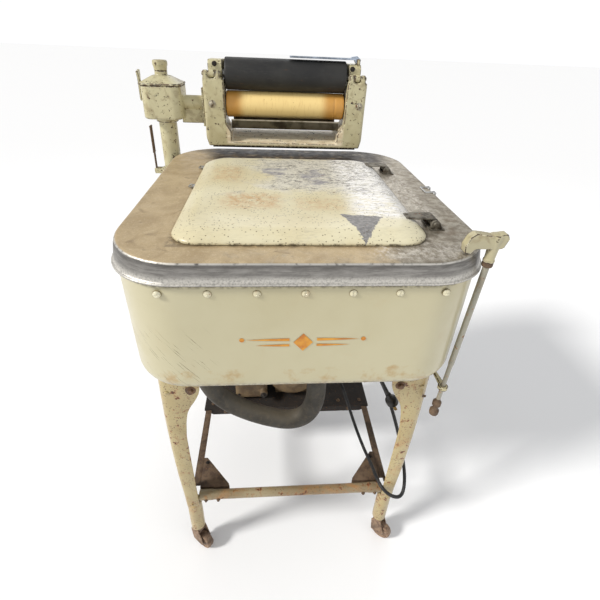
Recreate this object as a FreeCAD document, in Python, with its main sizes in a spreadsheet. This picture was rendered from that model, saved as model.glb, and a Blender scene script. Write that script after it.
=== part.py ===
"""Wringer washing machine with a square tub, as a parametric document in millimetres.

Frame: +Z up, the floor at Z = 0, the front towards -Y. The origin is on the floor, under the
middle of the machine's footprint. Every place below is given from the tub's own vertical
middle line, which stands tub_x, tub_y away from that origin.
"""
import FreeCAD
import Part

import math
import os
import types

import Sketcher

# ---------------------------------------------------------------- driving dimensions
DRIVING = {
    # where the tub's middle line stands in the machine's frame
    "tub_x": 34.62,
    "tub_y": -2.5,
    # aluminium rim and deck
    "rim_width": 572.0,
    "rim_depth": 640.0,
    "rim_corner": 115.0,
    "rim_flare": 4.0,
    "rim_foot_corner": 106.0,
    "rim_top": 865.0,
    "band_height": 35.0,
    "band_wall": 4.0,
    "deck_thick": 6.0,
    # enamelled casing
    "casing_width": 566.0,
    "casing_depth": 634.0,
    "casing_corner": 102.0,
    "foot_width": 560.0,
    "foot_depth": 634.0,
    "foot_corner": 98.0,
    "casing_base": 622.0,
    "casing_wall": 2.0,
    "casing_lip": 42.0,
    # inner tub and its opening
    "tub_mid": -19.0,
    "bowl_mid": -40.0,
    "bowl_width": 372.0,
    "bowl_depth": 404.0,
    "bowl_corner": 75.0,
    "bowl_wall": 4.0,
    "bowl_taper": 15.0,
    "bowl_floor": 600.0,
    # lid
    "lid_width": 391.0,
    "lid_depth": 446.0,
    "lid_mid": -45.0,
    "lid_corner": 42.0,
    "lid_rise": 18.5,
    "lid_slope": 36.0,
    "hinge_x": 217.0,
    "hinge_z": 875.0,
    "pin_radius": 3.0,
    "running_gap": 0.05,
    # legs and lower frame
    "leg_x": 230.0,
    "leg_y": 240.0,
    "leg_top_size": 58.0,
    "leg_foot_size": 29.0,
    "leg_foot": 178.0,
    "leg_wall": 3.0,
    "extension_radius": 12.5,
    "bar_height": 205.0,
    "bar_radius": 12.0,
    "wheel_radius": 24.0,
    "wheel_width": 20.0,
    "caster_trail": 16.0,
    # motor and gearcase
    "platform_front": -4.0,
    "platform_depth": 206.0,
    "platform_width": 470.0,
    "motor_x": 14.0,
    "motor_z": 296.0,
    "motor_radius": 66.0,
    "motor_pulley": 25.0,
    "worm_x": -24.0,
    "worm_z": 545.0,
    "gear_pulley": 44.0,
    "belt_y": 182.0,
    "belt_width": 10.0,
    # wringer
    "post_x": -302.0,
    "post_y": 280.0,
    "post_radius": 21.5,
    "post_top": 953.0,
    "frame_left": -205.0,
    "frame_right": 183.0,
    "frame_front": 240.0,
    "frame_deep": 80.0,
    "frame_base": 889.0,
    "column_top": 1040.0,
    "column_left": 48.0,
    "column_right": 47.0,
    "lower_z": 982.0,
    "lower_radius": 30.0,
    "upper_z": 1048.0,
    "upper_radius": 35.0,
    "roll_left": -154.0,
    "roll_right": 133.0,
    "shaft_radius": 9.0,
    "knuckle_y": 247.0,
    "knuckle_z": 1049.0,
    # agitator control at the front right corner
    "rod_x": 273.0,
    "rod_y": -288.0,
    "rod_radius": 5.0,
    # free hose and cord
    "hose_radius": 23.0,
    "cord_radius": 4.0,
}

document = FreeCAD.newDocument("WringerWasher")
sheet = document.addObject("Spreadsheet::Sheet", "Sizes")
for row, (alias, number) in enumerate(DRIVING.items(), start=1):
    sheet.set("A%d" % row, alias)
    sheet.set("B%d" % row, str(number))
    sheet.setAlias("B%d" % row, alias)
document.recompute()


class Dim:
    """A size from the sheet: its value now, and the expression that binds it."""

    def __init__(self, value, text):
        self.value = float(value)
        self.text = text

    def join(self, other, sign, value, swap=False):
        pair = (text_of(other), sign, self.text) if swap else (self.text, sign, text_of(other))
        return Dim(value, "(%s %s %s)" % pair)

    def __add__(self, other):
        return self.join(other, "+", self.value + value_of(other))

    __radd__ = __add__

    def __sub__(self, other):
        return self.join(other, "-", self.value - value_of(other))

    def __rsub__(self, other):
        return self.join(other, "-", value_of(other) - self.value, swap=True)

    def __mul__(self, other):
        return self.join(other, "*", self.value * value_of(other))

    __rmul__ = __mul__

    def __truediv__(self, other):
        return self.join(other, "/", self.value / value_of(other))

    def __rtruediv__(self, other):
        return self.join(other, "/", value_of(other) / self.value, swap=True)

    def __neg__(self):
        return 0 - self


def value_of(size):
    """The number behind a size."""
    return size.value if isinstance(size, Dim) else float(size)


def text_of(size):
    """The expression text of a size."""
    return size.text if isinstance(size, Dim) else "%.6g" % size


S = types.SimpleNamespace(**{alias: Dim(sheet.get(alias), "Sizes." + alias) for alias in DRIVING})


# ---------------------------------------------------------------- drawing helpers
TURN = {
    "Z": FreeCAD.Rotation(),
    "-Z": FreeCAD.Rotation(FreeCAD.Vector(1, 0, 0), 180),
    "X": FreeCAD.Rotation(FreeCAD.Vector(0, 1, 0), 90),
    "-X": FreeCAD.Rotation(FreeCAD.Vector(0, 1, 0), -90),
    "Y": FreeCAD.Rotation(FreeCAD.Vector(1, 0, 0), -90),
    "-Y": FreeCAD.Rotation(FreeCAD.Vector(1, 0, 0), 90),
}
NODES = []


def bind(thing, prop, size):
    """Set a property, bound to the sheet when the size comes from there."""
    if isinstance(size, Dim):
        thing.setExpression(prop, size.text)
    else:
        setattr(thing, prop, size)


def place(thing, at=(0, 0, 0), axis="Z"):
    """Place an object from the tub's middle line, its own Z turned to the named axis."""
    turn = TURN[axis] if isinstance(axis, str) else FreeCAD.Rotation(FreeCAD.Vector(0, 0, 1), axis)
    spot = (at[0] + S.tub_x, at[1] + S.tub_y, at[2])
    thing.Placement = FreeCAD.Placement(FreeCAD.Vector(*[value_of(part) for part in spot]), turn)
    for letter, part in zip("xyz", spot):
        if isinstance(part, Dim):
            thing.setExpression("Placement.Base." + letter, part.text)
    return thing


def box(name, size, at):
    """A block from its lowest corner."""
    thing = document.addObject("Part::Box", name)
    for prop, length in zip(("Length", "Width", "Height"), size):
        bind(thing, prop, length)
    return place(thing, at)


def rod(name, radius, length, at, axis="Z"):
    """A cylinder that starts at a point and runs along an axis."""
    thing = document.addObject("Part::Cylinder", name)
    bind(thing, "Radius", radius)
    bind(thing, "Height", length)
    return place(thing, at, axis)


def cone(name, radius_near, radius_far, length, at, axis="Z"):
    """A truncated cone that starts at a point and runs along an axis."""
    thing = document.addObject("Part::Cone", name)
    bind(thing, "Radius1", radius_near)
    bind(thing, "Radius2", radius_far)
    bind(thing, "Height", length)
    return place(thing, at, axis)


def dome(name, radius, at, axis="Z"):
    """A round screw or bolt head, its flat side at the point."""
    head = document.addObject("Part::Sphere", name)
    bind(head, "Radius", radius)
    head.Angle1 = 25.0
    return place(head, at, axis)


def fuse(name, *things):
    """One solid from several."""
    thing = document.addObject("Part::MultiFuse", name)
    thing.Shapes = list(things)
    thing.Refine = True
    return thing


def cut(name, base, *tools):
    """A solid with others taken out of it."""
    thing = document.addObject("Part::Cut", name)
    thing.Base = base
    thing.Tool = tools[0] if len(tools) == 1 else fuse(name + "_tools", *tools)
    thing.Refine = True
    return thing


def group(name, *things):
    """Separate solids that share one node."""
    thing = document.addObject("Part::Compound", name)
    thing.Links = list(things)
    return thing


def fillet(name, base, radius, keep):
    """Round the edges that a test picks."""
    document.recompute()
    thing = document.addObject("Part::Fillet", name)
    thing.Base = base
    picked = [index for index, edge in enumerate(base.Shape.Edges, start=1) if keep(edge)]
    thing.Edges = [(index, radius, radius) for index in picked]
    return thing


def runs_along(edge, axis):
    """Whether an edge is straight along X, Y or Z."""
    if edge.Curve.TypeId != "Part::GeomLine":
        return False
    direction = edge.Curve.Direction
    return abs(abs(getattr(direction, axis.lower())) - 1) < 1e-6


def node(thing, label):
    """Name a finished piece; its label names its file."""
    thing.Label = label
    NODES.append(thing)
    return thing


def new_body(name, at=(0, 0, 0), axis="Z"):
    """An empty body placed from the tub's middle line."""
    return place(document.addObject("PartDesign::Body", name), at, axis)


def sketch_on(body, plane, name, lift=0):
    """A sketch on one of the body's origin planes, lifted along the plane's normal."""
    sketch = body.newObject("Sketcher::SketchObject", name)
    support = [part for part in body.Origin.OriginFeatures if part.Role == plane + "_Plane"][0]
    sketch.AttachmentSupport = [(support, "")]
    sketch.MapMode = "FlatFace"
    sketch.AttachmentOffset = FreeCAD.Placement(FreeCAD.Vector(0, 0, value_of(lift)), FreeCAD.Rotation())
    if isinstance(lift, Dim):
        sketch.setExpression("AttachmentOffset.Base.z", lift.text)
    return sketch


def pin_point(sketch, geometry, end, spot):
    """Fix one point of a sketch from its origin, bound to the sheet."""
    for kind, size in zip(("DistanceX", "DistanceY"), spot):
        value = value_of(size)
        if value < 0:
            index = sketch.addConstraint(Sketcher.Constraint(kind, geometry, end, -1, 1, -value))
            size = -size
        else:
            index = sketch.addConstraint(Sketcher.Constraint(kind, -1, 1, geometry, end, value))
        if isinstance(size, Dim):
            sketch.setExpression("Constraints[%d]" % index, size.text)


def draw_polygon(sketch, points):
    """A closed outline of straight lines, every corner fixed."""
    spots = [FreeCAD.Vector(value_of(u), value_of(v), 0) for u, v in points]
    lines = [sketch.addGeometry(Part.LineSegment(spot, spots[(index + 1) % len(spots)]))
             for index, spot in enumerate(spots)]
    for index, line in enumerate(lines):
        follower = lines[(index + 1) % len(lines)]
        sketch.addConstraint(Sketcher.Constraint("Coincident", line, 2, follower, 1))
        pin_point(sketch, line, 1, points[index])


def draw_rounded(sketch, width, depth, radius, centre=(0, 0)):
    """A rectangle with four equal corner arcs, about a centre."""
    half_u, half_v, bend = value_of(width) / 2, value_of(depth) / 2, value_of(radius)
    mid_u, mid_v = value_of(centre[0]), value_of(centre[1])
    arcs = []
    for quarter, (side_u, side_v) in enumerate(((1, 1), (-1, 1), (-1, -1), (1, -1))):
        middle = FreeCAD.Vector(mid_u + side_u * (half_u - bend), mid_v + side_v * (half_v - bend), 0)
        circle = Part.Circle(middle, FreeCAD.Vector(0, 0, 1), bend)
        start = quarter * math.pi / 2
        arc = sketch.addGeometry(Part.ArcOfCircle(circle, start, start + math.pi / 2))
        pin_point(sketch, arc, 3, (centre[0] + side_u * (width / 2 - radius),
                                   centre[1] + side_v * (depth / 2 - radius)))
        arcs.append(arc)
    index = sketch.addConstraint(Sketcher.Constraint("Radius", arcs[0], bend))
    if isinstance(radius, Dim):
        sketch.setExpression("Constraints[%d]" % index, radius.text)
    for arc in arcs[1:]:
        sketch.addConstraint(Sketcher.Constraint("Equal", arcs[0], arc))
    for quarter, arc in enumerate(arcs):
        follower = arcs[(quarter + 1) % 4]
        ends = (sketch.Geometry[arc].EndPoint, sketch.Geometry[follower].StartPoint)
        line = sketch.addGeometry(Part.LineSegment(*ends))
        sketch.addConstraint(Sketcher.Constraint("Tangent", arc, 2, line, 1))
        sketch.addConstraint(Sketcher.Constraint("Tangent", line, 2, follower, 1))


def pad(body, sketch, length, backwards=False, kind="Pad"):
    """Raise (or, as a Pocket, sink) a sketch by a length."""
    feature = body.newObject("PartDesign::" + kind, kind + "_" + sketch.Name)
    feature.Profile = sketch
    feature.Reversed = backwards
    bind(feature, "Length", length)
    return feature


def loft(body, sketches, kind="Additive"):
    """Join sketches with flat-sided walls, as material or as a hollow."""
    feature = body.newObject("PartDesign::%sLoft" % kind, kind + "_" + sketches[0].Name)
    feature.Profile = sketches[0]
    feature.Sections = sketches[1:]
    feature.Ruled = True
    return feature


def round_body(body, radius, keep):
    """Fillet the body's edges that a test picks."""
    document.recompute()
    base = body.Tip
    names = ["Edge%d" % index for index, edge in enumerate(base.Shape.Edges, start=1) if keep(edge)]
    feature = body.newObject("PartDesign::Fillet", "Fillet_" + base.Name)
    feature.Base = (base, names)
    feature.Radius = radius
    document.recompute()
    return feature


def prism(name, plane, points, length, at, axis="Z"):
    """An outline in one plane, raised along +X, +Y or +Z, its own Z turned to the named axis."""
    body = new_body(name, at, axis)
    sketch = sketch_on(body, plane, name + "_outline")
    draw_polygon(sketch, points)
    pad(body, sketch, length, backwards=(plane == "XZ"))
    return body


def turned(name, profile, at, axis="Z"):
    """A half profile (radius, height) turned about its own Z."""
    body = new_body(name, at, axis)
    sketch = sketch_on(body, "XZ", name + "_profile")
    draw_polygon(sketch, profile)
    feature = body.newObject("PartDesign::Revolution", name + "_turn")
    feature.Profile = sketch
    feature.ReferenceAxis = (sketch, ["V_Axis"])
    feature.Angle = 360.0
    return body


def tube_along(name, route, radius):
    """A round tube along straight runs joined by tangent arcs; prints its radii and its length."""
    spots = [FreeCAD.Vector(*spot) for spot in route]
    edges, radii, start = [], [], spots[0]
    for before, corner, after in zip(spots, spots[1:], spots[2:]):
        back, ahead = before - corner, after - corner
        turn = math.pi - back.getAngle(ahead)
        bend = 0.45 * min(back.Length, ahead.Length) / math.tan(turn / 2)
        reach = bend * math.tan(turn / 2)
        enter = corner + back.normalize() * reach
        leave = corner + ahead.normalize() * reach
        middle_way = (back + ahead).normalize()
        middle = corner + middle_way * (bend / math.cos(turn / 2) - bend)
        edges += [Part.LineSegment(start, enter).toShape(), Part.Arc(enter, middle, leave).toShape()]
        radii.append(bend)
        start = leave
    edges.append(Part.LineSegment(start, spots[-1]).toShape())
    path = Part.Wire(edges)
    section = Part.Wire(Part.Circle(spots[0], spots[1] - spots[0], value_of(radius)).toShape())
    solid = path.makePipeShell([section], True, True)
    expected = math.pi * value_of(radius) ** 2 * path.Length
    print(name, "length %.0f" % path.Length, "volume / expected %.4f" % (solid.Volume / expected))
    print("  radii", " ".join("%.0f" % bend for bend in radii))
    thing = document.addObject("Part::Feature", name)
    thing.Shape = solid
    return place(thing)


# ---------------------------------------------------------------- tub, rim and casing
DRAIN_X = 52.0
DRAIN_Y = -121.0
QUARTERS = (("front_left", -1, -1), ("front_right", 1, -1), ("rear_left", -1, 1), ("rear_right", 1, 1))
SKIRT_GAP = 15.0
SKIRT_WALL = 3.0
SKIRT_DROP = 62.0
SCREW_PITCH = 68.6
SCREW_DROP = 50.0
CASING_TUCK = 23.0
FOOT_BEND = 28.0
band_foot = S.rim_top - S.band_height
deck_under = S.rim_top - S.deck_thick
bowl_centre = (0, S.bowl_mid)


def make_rim():
    """Deck plate, the band turned down round it, and the inner skirt that takes the screws."""
    body = new_body("rim_body")
    flare, shrink = 2 * S.rim_flare, S.rim_corner - S.rim_foot_corner
    for kind, wall, rise in (("Additive", 0, 0), ("Subtractive", S.band_wall, S.deck_thick)):
        share = rise / S.band_height
        low = sketch_on(body, "XY", "rim_foot_" + kind, band_foot)
        draw_rounded(low, S.rim_width + flare - 2 * wall, S.rim_depth + flare - 2 * wall,
                     S.rim_foot_corner - wall)
        high = sketch_on(body, "XY", "rim_head_" + kind, S.rim_top - rise)
        draw_rounded(high, S.rim_width + flare * share - 2 * wall, S.rim_depth + flare * share - 2 * wall,
                     S.rim_corner - shrink * share - wall)
        loft(body, [low, high], kind)
    skirt = sketch_on(body, "XY", "rim_skirt", S.rim_top - SKIRT_DROP)
    for gap in (SKIRT_GAP, SKIRT_GAP + SKIRT_WALL):
        draw_rounded(skirt, S.rim_width - 2 * gap, S.rim_depth - 2 * gap, S.rim_corner - gap)
    pad(body, skirt, SKIRT_DROP - S.deck_thick / 2)
    opening = sketch_on(body, "XY", "rim_opening", S.rim_top + 1)
    draw_rounded(opening, S.bowl_width, S.bowl_depth, S.bowl_corner, bowl_centre)
    pad(body, opening, S.deck_thick + 3, kind="Pocket")
    return node(body, "tub_rim")


def make_casing():
    """Enamelled sheet casing: a tapered skirt with a rounded foot and an inward lip."""
    body = new_body("casing_body")
    top = S.rim_top - CASING_TUCK
    bend = FOOT_BEND
    for kind, wall in (("Additive", 0), ("Subtractive", S.casing_wall)):
        sections = []
        for index, (inset, level) in enumerate(((bend * 0.72, 0), (bend * 0.26, bend * 0.34), (0, bend))):
            level = wall + S.casing_base + level
            inset = inset + wall
            sections.append(sketch_on(body, "XY", "%s_foot_%d" % (kind, index), level))
            draw_rounded(sections[-1], S.foot_width - 2 * inset, S.foot_depth - 2 * inset,
                         S.foot_corner - inset)
        sections.append(sketch_on(body, "XY", kind + "_head", top))
        draw_rounded(sections[-1], S.casing_width - 2 * wall, S.casing_depth - 2 * wall,
                     S.casing_corner - wall)
        loft(body, sections, kind)
    floor_hole = sketch_on(body, "XY", "casing_floor_hole", S.casing_base + S.casing_wall + 1)
    lip = 2 * S.casing_lip
    draw_rounded(floor_hole, S.foot_width - lip, S.foot_depth - lip, S.foot_corner - S.casing_lip)
    pad(body, floor_hole, S.casing_wall + 2, kind="Pocket")
    return node(body, "tub_casing")


def make_bowl():
    """Cast inner tub, open at the top, with its drain spigot under the floor."""
    body = new_body("bowl_body")
    taper = 2 * S.bowl_taper
    wall = 2 * S.bowl_wall
    foot = sketch_on(body, "XY", "bowl_foot", S.bowl_floor)
    draw_rounded(foot, S.bowl_width + wall - taper, S.bowl_depth + wall - taper, S.bowl_corner, bowl_centre)
    head = sketch_on(body, "XY", "bowl_head", deck_under)
    draw_rounded(head, S.bowl_width + wall, S.bowl_depth + wall, S.bowl_corner + S.bowl_wall, bowl_centre)
    loft(body, [foot, head])
    hollow_foot = sketch_on(body, "XY", "bowl_hollow_foot", S.bowl_floor + S.bowl_wall)
    draw_rounded(hollow_foot, S.bowl_width - taper, S.bowl_depth - taper, S.bowl_corner - S.bowl_wall,
                 bowl_centre)
    hollow_head = sketch_on(body, "XY", "bowl_hollow_head", deck_under)
    draw_rounded(hollow_head, S.bowl_width, S.bowl_depth, S.bowl_corner, bowl_centre)
    loft(body, [hollow_foot, hollow_head], "Subtractive")
    spigot = rod("spigot", 17.0, 36.0, (DRAIN_X, DRAIN_Y, S.bowl_floor - 34))
    waterway = rod("waterway", 14.0, 60.0, (DRAIN_X, DRAIN_Y, S.bowl_floor - 36))
    shaft_hole = rod("bowl_shaft_hole", S.shaft_radius + 8, 30.0, (0, S.tub_mid, S.bowl_floor - 10))
    drained = cut("bowl_drained", fuse("bowl_spigot", body, spigot), waterway, shaft_hole)
    sleeve = rod("post_sleeve", S.shaft_radius + 8, 150.0, (0, S.tub_mid, S.bowl_floor))
    sleeve_bore = rod("sleeve_bore", S.shaft_radius + S.running_gap, 170.0, (0, S.tub_mid, S.bowl_floor - 5))
    return node(fuse("bowl_whole", drained, cut("sleeve_tube", sleeve, sleeve_bore)), "tub")


def make_screws():
    """Round-head screws round the casing, under the band on all four sides, and the leg bolts."""
    heads = [dome("leg_bolt", 9.0, (side_x * 194, side_y * (S.leg_y + S.leg_top_size / 2 - 5.7), 575.0),
                  "Y" if side_y > 0 else "-Y") for corner, side_x, side_y in QUARTERS]
    level = S.rim_top - SCREW_DROP
    for side in (-1, 1):
        for index in range(-3, 4):
            heads.append(dome("screw", 5.6, (index * SCREW_PITCH, side * (S.casing_depth / 2 - 2.3), level),
                              "Y" if side > 0 else "-Y"))
            heads.append(dome("screw", 5.6, (side * (S.casing_width / 2 - 2.7), index * SCREW_PITCH, level),
                              "X" if side > 0 else "-X"))
    return node(group("screws", *heads), "screws_and_leg_bolts")


def make_lid():
    """Pressed lid with a raised middle, hollow underneath, its strap hinges and their brackets."""
    seat = S.rim_top + 0.4
    top = seat + S.lid_rise
    middle = (-2, S.lid_mid)
    body = new_body("lid_body")
    foot = sketch_on(body, "XY", "lid_foot", seat)
    draw_rounded(foot, S.lid_width, S.lid_depth, S.lid_corner, middle)
    brow = sketch_on(body, "XY", "lid_brow", seat + 3)
    draw_rounded(brow, S.lid_width, S.lid_depth, S.lid_corner, middle)
    slope = 2 * S.lid_slope
    shoulder = sketch_on(body, "XY", "lid_shoulder", top - 1.6)
    draw_rounded(shoulder, S.lid_width - slope + 12, S.lid_depth - slope + 12, S.lid_corner - 4, middle)
    crown = sketch_on(body, "XY", "lid_crown", top)
    draw_rounded(crown, S.lid_width - slope - 4, S.lid_depth - slope - 4, S.lid_corner - 8, middle)
    loft(body, [foot, brow, shoulder, crown])
    under = sketch_on(body, "XY", "lid_under", seat)
    draw_rounded(under, S.lid_width - 5, S.lid_depth - 5, S.lid_corner - 2.5, middle)
    roof = sketch_on(body, "XY", "lid_roof", top - 3)
    draw_rounded(roof, S.lid_width - slope - 10, S.lid_depth - slope - 10, S.lid_corner - 11, middle)
    loft(body, [under, roof], "Subtractive")
    node(body, "lid")

    straps, brackets = [], []
    eye_radius = 7.5
    for end, strap_y in (("front", -189.0), ("rear", 118.0)):
        leaf = prism(end + "_leaf", "XZ",
                     ((-50, 5), (0, eye_radius), (0, 4), (-20, 4), (-24, -3.5), (-44, 3.3)), 28.0,
                     (S.hinge_x, strap_y - 14, S.hinge_z))
        eye = rod(end + "_eye", eye_radius, 28.0, (S.hinge_x, strap_y - 14, S.hinge_z), "Y")
        bore = rod(end + "_bore", S.pin_radius + S.running_gap, 30.0,
                   (S.hinge_x, strap_y - 15, S.hinge_z), "Y")
        straps.append(cut(end + "_strap", fuse(end + "_strap_raw", leaf, eye), bore))
        base = box(end + "_base", (26, 42, 1.8), (S.hinge_x - 9, strap_y - 21, S.rim_top))
        cheeks = [prism(end + "_cheek", "XZ", ((-7, -9), (13, -9), (5, 5), (-5, 5)), 4.0,
                        (S.hinge_x, strap_y + offset, S.hinge_z)) for offset in (-19, 15)]
        pin = rod(end + "_pin", S.pin_radius, 40.0, (S.hinge_x, strap_y - 20, S.hinge_z), "Y")
        brackets.append(fuse(end + "_bracket", base, pin, *cheeks))
    node(group("straps", *straps), "lid_hinge_straps")
    return node(group("brackets", *brackets), "lid_hinge_brackets")


# ---------------------------------------------------------------- legs and lower frame
def make_leg(corner, side_x, side_y):
    """Pressed steel leg: a tapered angle with a rounded outer edge and a bolted ear at the top."""
    body = new_body("angle_" + corner, (side_x * S.leg_x, side_y * S.leg_y, S.leg_foot))
    height = S.casing_base - S.leg_foot
    for kind, shift in (("Additive", 0), ("Subtractive", S.leg_wall)):
        centre = (-side_x * shift, -side_y * shift)
        low = sketch_on(body, "XY", kind + "_low_" + corner)
        draw_rounded(low, S.leg_foot_size, S.leg_foot_size, 8.0, centre)
        high = sketch_on(body, "XY", kind + "_high_" + corner, height)
        draw_rounded(high, S.leg_top_size, S.leg_top_size, 16.0, centre)
        loft(body, [low, high], kind)
    face = S.leg_y + S.leg_top_size / 2 - 2
    ear = prism("ear_" + corner, "XZ",
                ((side_x * 24, 0), (side_x * -22, 0), (side_x * -26, -84), (side_x * -40, -62),
                 (side_x * -50, -40), (side_x * -50, 0)), 3.0,
                (side_x * S.leg_x, side_y * (face - 1.5) - 1.5, S.casing_base))
    return node(fuse("leg_whole_" + corner, body, ear), "leg_" + corner)


def make_legs():
    """The four legs, and the tubes that telescope into their feet."""
    tubes = []
    for corner, side_x, side_y in QUARTERS:
        make_leg(corner, side_x, side_y)
        spot = (side_x * (S.leg_x - 0.5), side_y * (S.leg_y - 0.5))
        outer = rod("tube_" + corner, S.extension_radius - 1.5, 110.0, spot + (76.0,))
        sleeve = rod("sleeve_" + corner, S.extension_radius + 4, S.leg_foot - 78.5, spot + (78.0,))
        tubes.append(cut("extension_" + corner, fuse("tube_sleeved_" + corner, outer, sleeve),
                         rod("tube_bore_" + corner, 6.2, 44.0, spot + (70.0,))))
    return node(group("extensions", *tubes), "leg_extensions")


def make_casters():
    """Swivelling casters: a horn with its stem and axle, and a wheel, under each leg."""
    origin = (0, 0, 0)
    yaw = -math.degrees(math.atan2(0.6, 0.8))
    for corner, side_x, side_y in QUARTERS:
        stem_x, stem_y = side_x * (S.leg_x - 0.5), side_y * (S.leg_y - 0.5)
        stem = rod("stem_" + corner, 6.0, 62.0, (stem_x, stem_y, 50.0))
        collar = rod("collar_" + corner, 12.0, 14.0, (stem_x, stem_y, 61.0))
        cheeks = []
        for side in (-1, 1):
            offset = side * (S.wheel_width / 2 + 2.3)
            arm = prism("cheek_%s_%d" % (corner, side + 1), "XZ",
                        ((-9, 0), (-13, 41), (11, 47), (14, 38), (24, 6), (18, -8), (4, -6)), 3.0, origin)
            turn_about_stem(arm, (0, offset - 1.5, S.wheel_radius), (stem_x, stem_y), yaw)
            cheeks.append(arm)
        crown = box("crown_" + corner, (22.0, S.wheel_width + 7.6, 5.0), origin)
        turn_about_stem(crown, (-11.0, -S.wheel_width / 2 - 3.8, 58.0), (stem_x, stem_y), yaw)
        axle = rod("axle_" + corner, 4.0, S.wheel_width + 10.0, origin, "Y")
        turn_about_stem(axle, (S.caster_trail, -S.wheel_width / 2 - 5.0, S.wheel_radius),
                        (stem_x, stem_y), yaw, "Y")
        node(fuse("fork_" + corner, stem, collar, crown, axle, *cheeks), "caster_fork_" + corner)
        wheel = turned("wheel_" + corner,
                       ((4 + S.running_gap, 0), (S.wheel_radius - 3, 0), (S.wheel_radius, 4),
                        (S.wheel_radius, S.wheel_width - 4), (S.wheel_radius - 3, S.wheel_width),
                        (4 + S.running_gap, S.wheel_width)), origin, "Y")
        turn_about_stem(wheel, (S.caster_trail, -S.wheel_width / 2, S.wheel_radius),
                        (stem_x, stem_y), yaw, "Y")
        node(wheel, "caster_wheel_" + corner)


def turn_about_stem(thing, local, stem, yaw, axis="Z"):
    """Place a piece given beside a caster's stem, the caster turned by a yaw angle."""
    cosine, sine = math.cos(math.radians(yaw)), math.sin(math.radians(yaw))
    spot = (stem[0] + local[0] * cosine - local[1] * sine,
            stem[1] + local[0] * sine + local[1] * cosine, local[2])
    place(thing, spot, axis)
    turn = FreeCAD.Rotation(FreeCAD.Vector(0, 0, 1), yaw)
    thing.Placement = FreeCAD.Placement(thing.Placement.Base, turn.multiply(TURN[axis]))


PLATFORM_LIFT = 7.1
PLATFORM_TOP = 11.1


def make_lower_frame():
    """Front and rear tie bars, side rails, corner gussets and the motor's platform."""
    half = S.leg_x - 15.5
    bars = [rod("bar", S.bar_radius, 2 * half, (-half, side * (S.leg_y + 2), S.bar_height), "X")
            for side in (-1, 1)]
    node(group("bars", *bars), "tie_bars")
    rails = []
    for side in (-1, 1):
        web = box("rail_web", (3, 2 * (S.leg_y - 16), 18), (side * S.leg_x - 1.5, 16 - S.leg_y,
                                                           S.bar_height - 11))
        flange = box("rail_flange", (15, 2 * (S.leg_y - 16), 3),
                     (side * (S.leg_x - 6) - 7.5, 16 - S.leg_y, S.bar_height + 4))
        rails.append(fuse("rail", web, flange))
    gussets = []
    for corner, side_x, side_y in QUARTERS:
        level = S.bar_height + (PLATFORM_TOP + 0.1 if side_y > 0 else PLATFORM_LIFT)
        gussets.append(prism("gusset_" + corner, "XY",
                             ((0, 0), (side_x * -68, 0), (side_x * -68, side_y * -6),
                              (side_x * -8, side_y * -76), (0, side_y * -76)), 3.0,
                             (side_x * (S.leg_x - 15.6), side_y * (S.leg_y - 10.2), level)))
    node(group("rails", *(rails + gussets)), "rails_and_gussets")
    plate = box("plate", (S.platform_width, S.platform_depth, PLATFORM_TOP - PLATFORM_LIFT),
                (-S.platform_width / 2, S.platform_front, S.bar_height + PLATFORM_LIFT))
    lip = box("plate_lip", (S.platform_width - 40, 3, 20),
              (-S.platform_width / 2 + 20, S.platform_front, S.bar_height - 10))
    back_lip = box("plate_back_lip", (S.platform_width - 40, 3, 20),
                   (-S.platform_width / 2 + 20, S.platform_front + S.platform_depth - 3,
                    S.bar_height - 10))
    return node(fuse("platform", plate, lip, back_lip), "motor_platform")


# ---------------------------------------------------------------- motor, belt and gearcase
MOTOR_FRONT = 40.0
MOTOR_LENGTH = 110.0
CORD_EXIT_Y = 66.0
GEARCASE_TOP = 599.6


def make_motor():
    """Motor shell with its feet and cord gland, end bells, and the rotor on its shaft."""
    centre = (S.motor_x, MOTOR_FRONT, S.motor_z)
    shell = rod("shell", S.motor_radius, MOTOR_LENGTH, centre, "Y")
    platform_top = S.bar_height + PLATFORM_TOP
    feet = [box("foot", (96, 22, S.motor_z - platform_top - 50), (S.motor_x - 48, at_y, platform_top))
            for at_y in (MOTOR_FRONT + 14, MOTOR_FRONT + MOTOR_LENGTH - 36)]
    gland = rod("gland", 9.0, 22.0, (S.motor_x + S.motor_radius - 4, CORD_EXIT_Y, S.motor_z), "X")
    inside = rod("shell_inside", S.motor_radius - 4, MOTOR_LENGTH + 2,
                 (S.motor_x, MOTOR_FRONT - 1, S.motor_z), "Y")
    stator = rod("stator", S.motor_radius - 4, 60, (S.motor_x, MOTOR_FRONT + 25, S.motor_z), "Y")
    stator_bore = rod("stator_bore", 40.5, 62, (S.motor_x, MOTOR_FRONT + 24, S.motor_z), "Y")
    hollow = cut("shell_hollow", fuse("shell_feet", shell, gland, *feet), inside)
    node(fuse("motor_body", hollow, cut("stator_ring", stator, stator_bore)), "motor_housing")

    rim = S.motor_radius - 1
    profile = ((6 + S.running_gap, 0), (rim, 0), (rim - 2, 7), (rim - 16, 15), (24, 18), (19, 26),
               (6 + S.running_gap, 26))
    bells = [turned("front_bell", profile, centre, "-Y"),
             turned("back_bell", profile, (S.motor_x, MOTOR_FRONT + MOTOR_LENGTH, S.motor_z), "Y")]
    node(group("bells", *bells), "motor_end_bells")

    shaft = rod("motor_shaft", 6.0, S.belt_y + S.belt_width + 8 - MOTOR_FRONT + 24,
                (S.motor_x, MOTOR_FRONT - 24, S.motor_z), "Y")
    core = rod("rotor_core", 40.0, 62.0, (S.motor_x, MOTOR_FRONT + 24, S.motor_z), "Y")
    return node(fuse("rotor", shaft, core), "motor_rotor")


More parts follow.
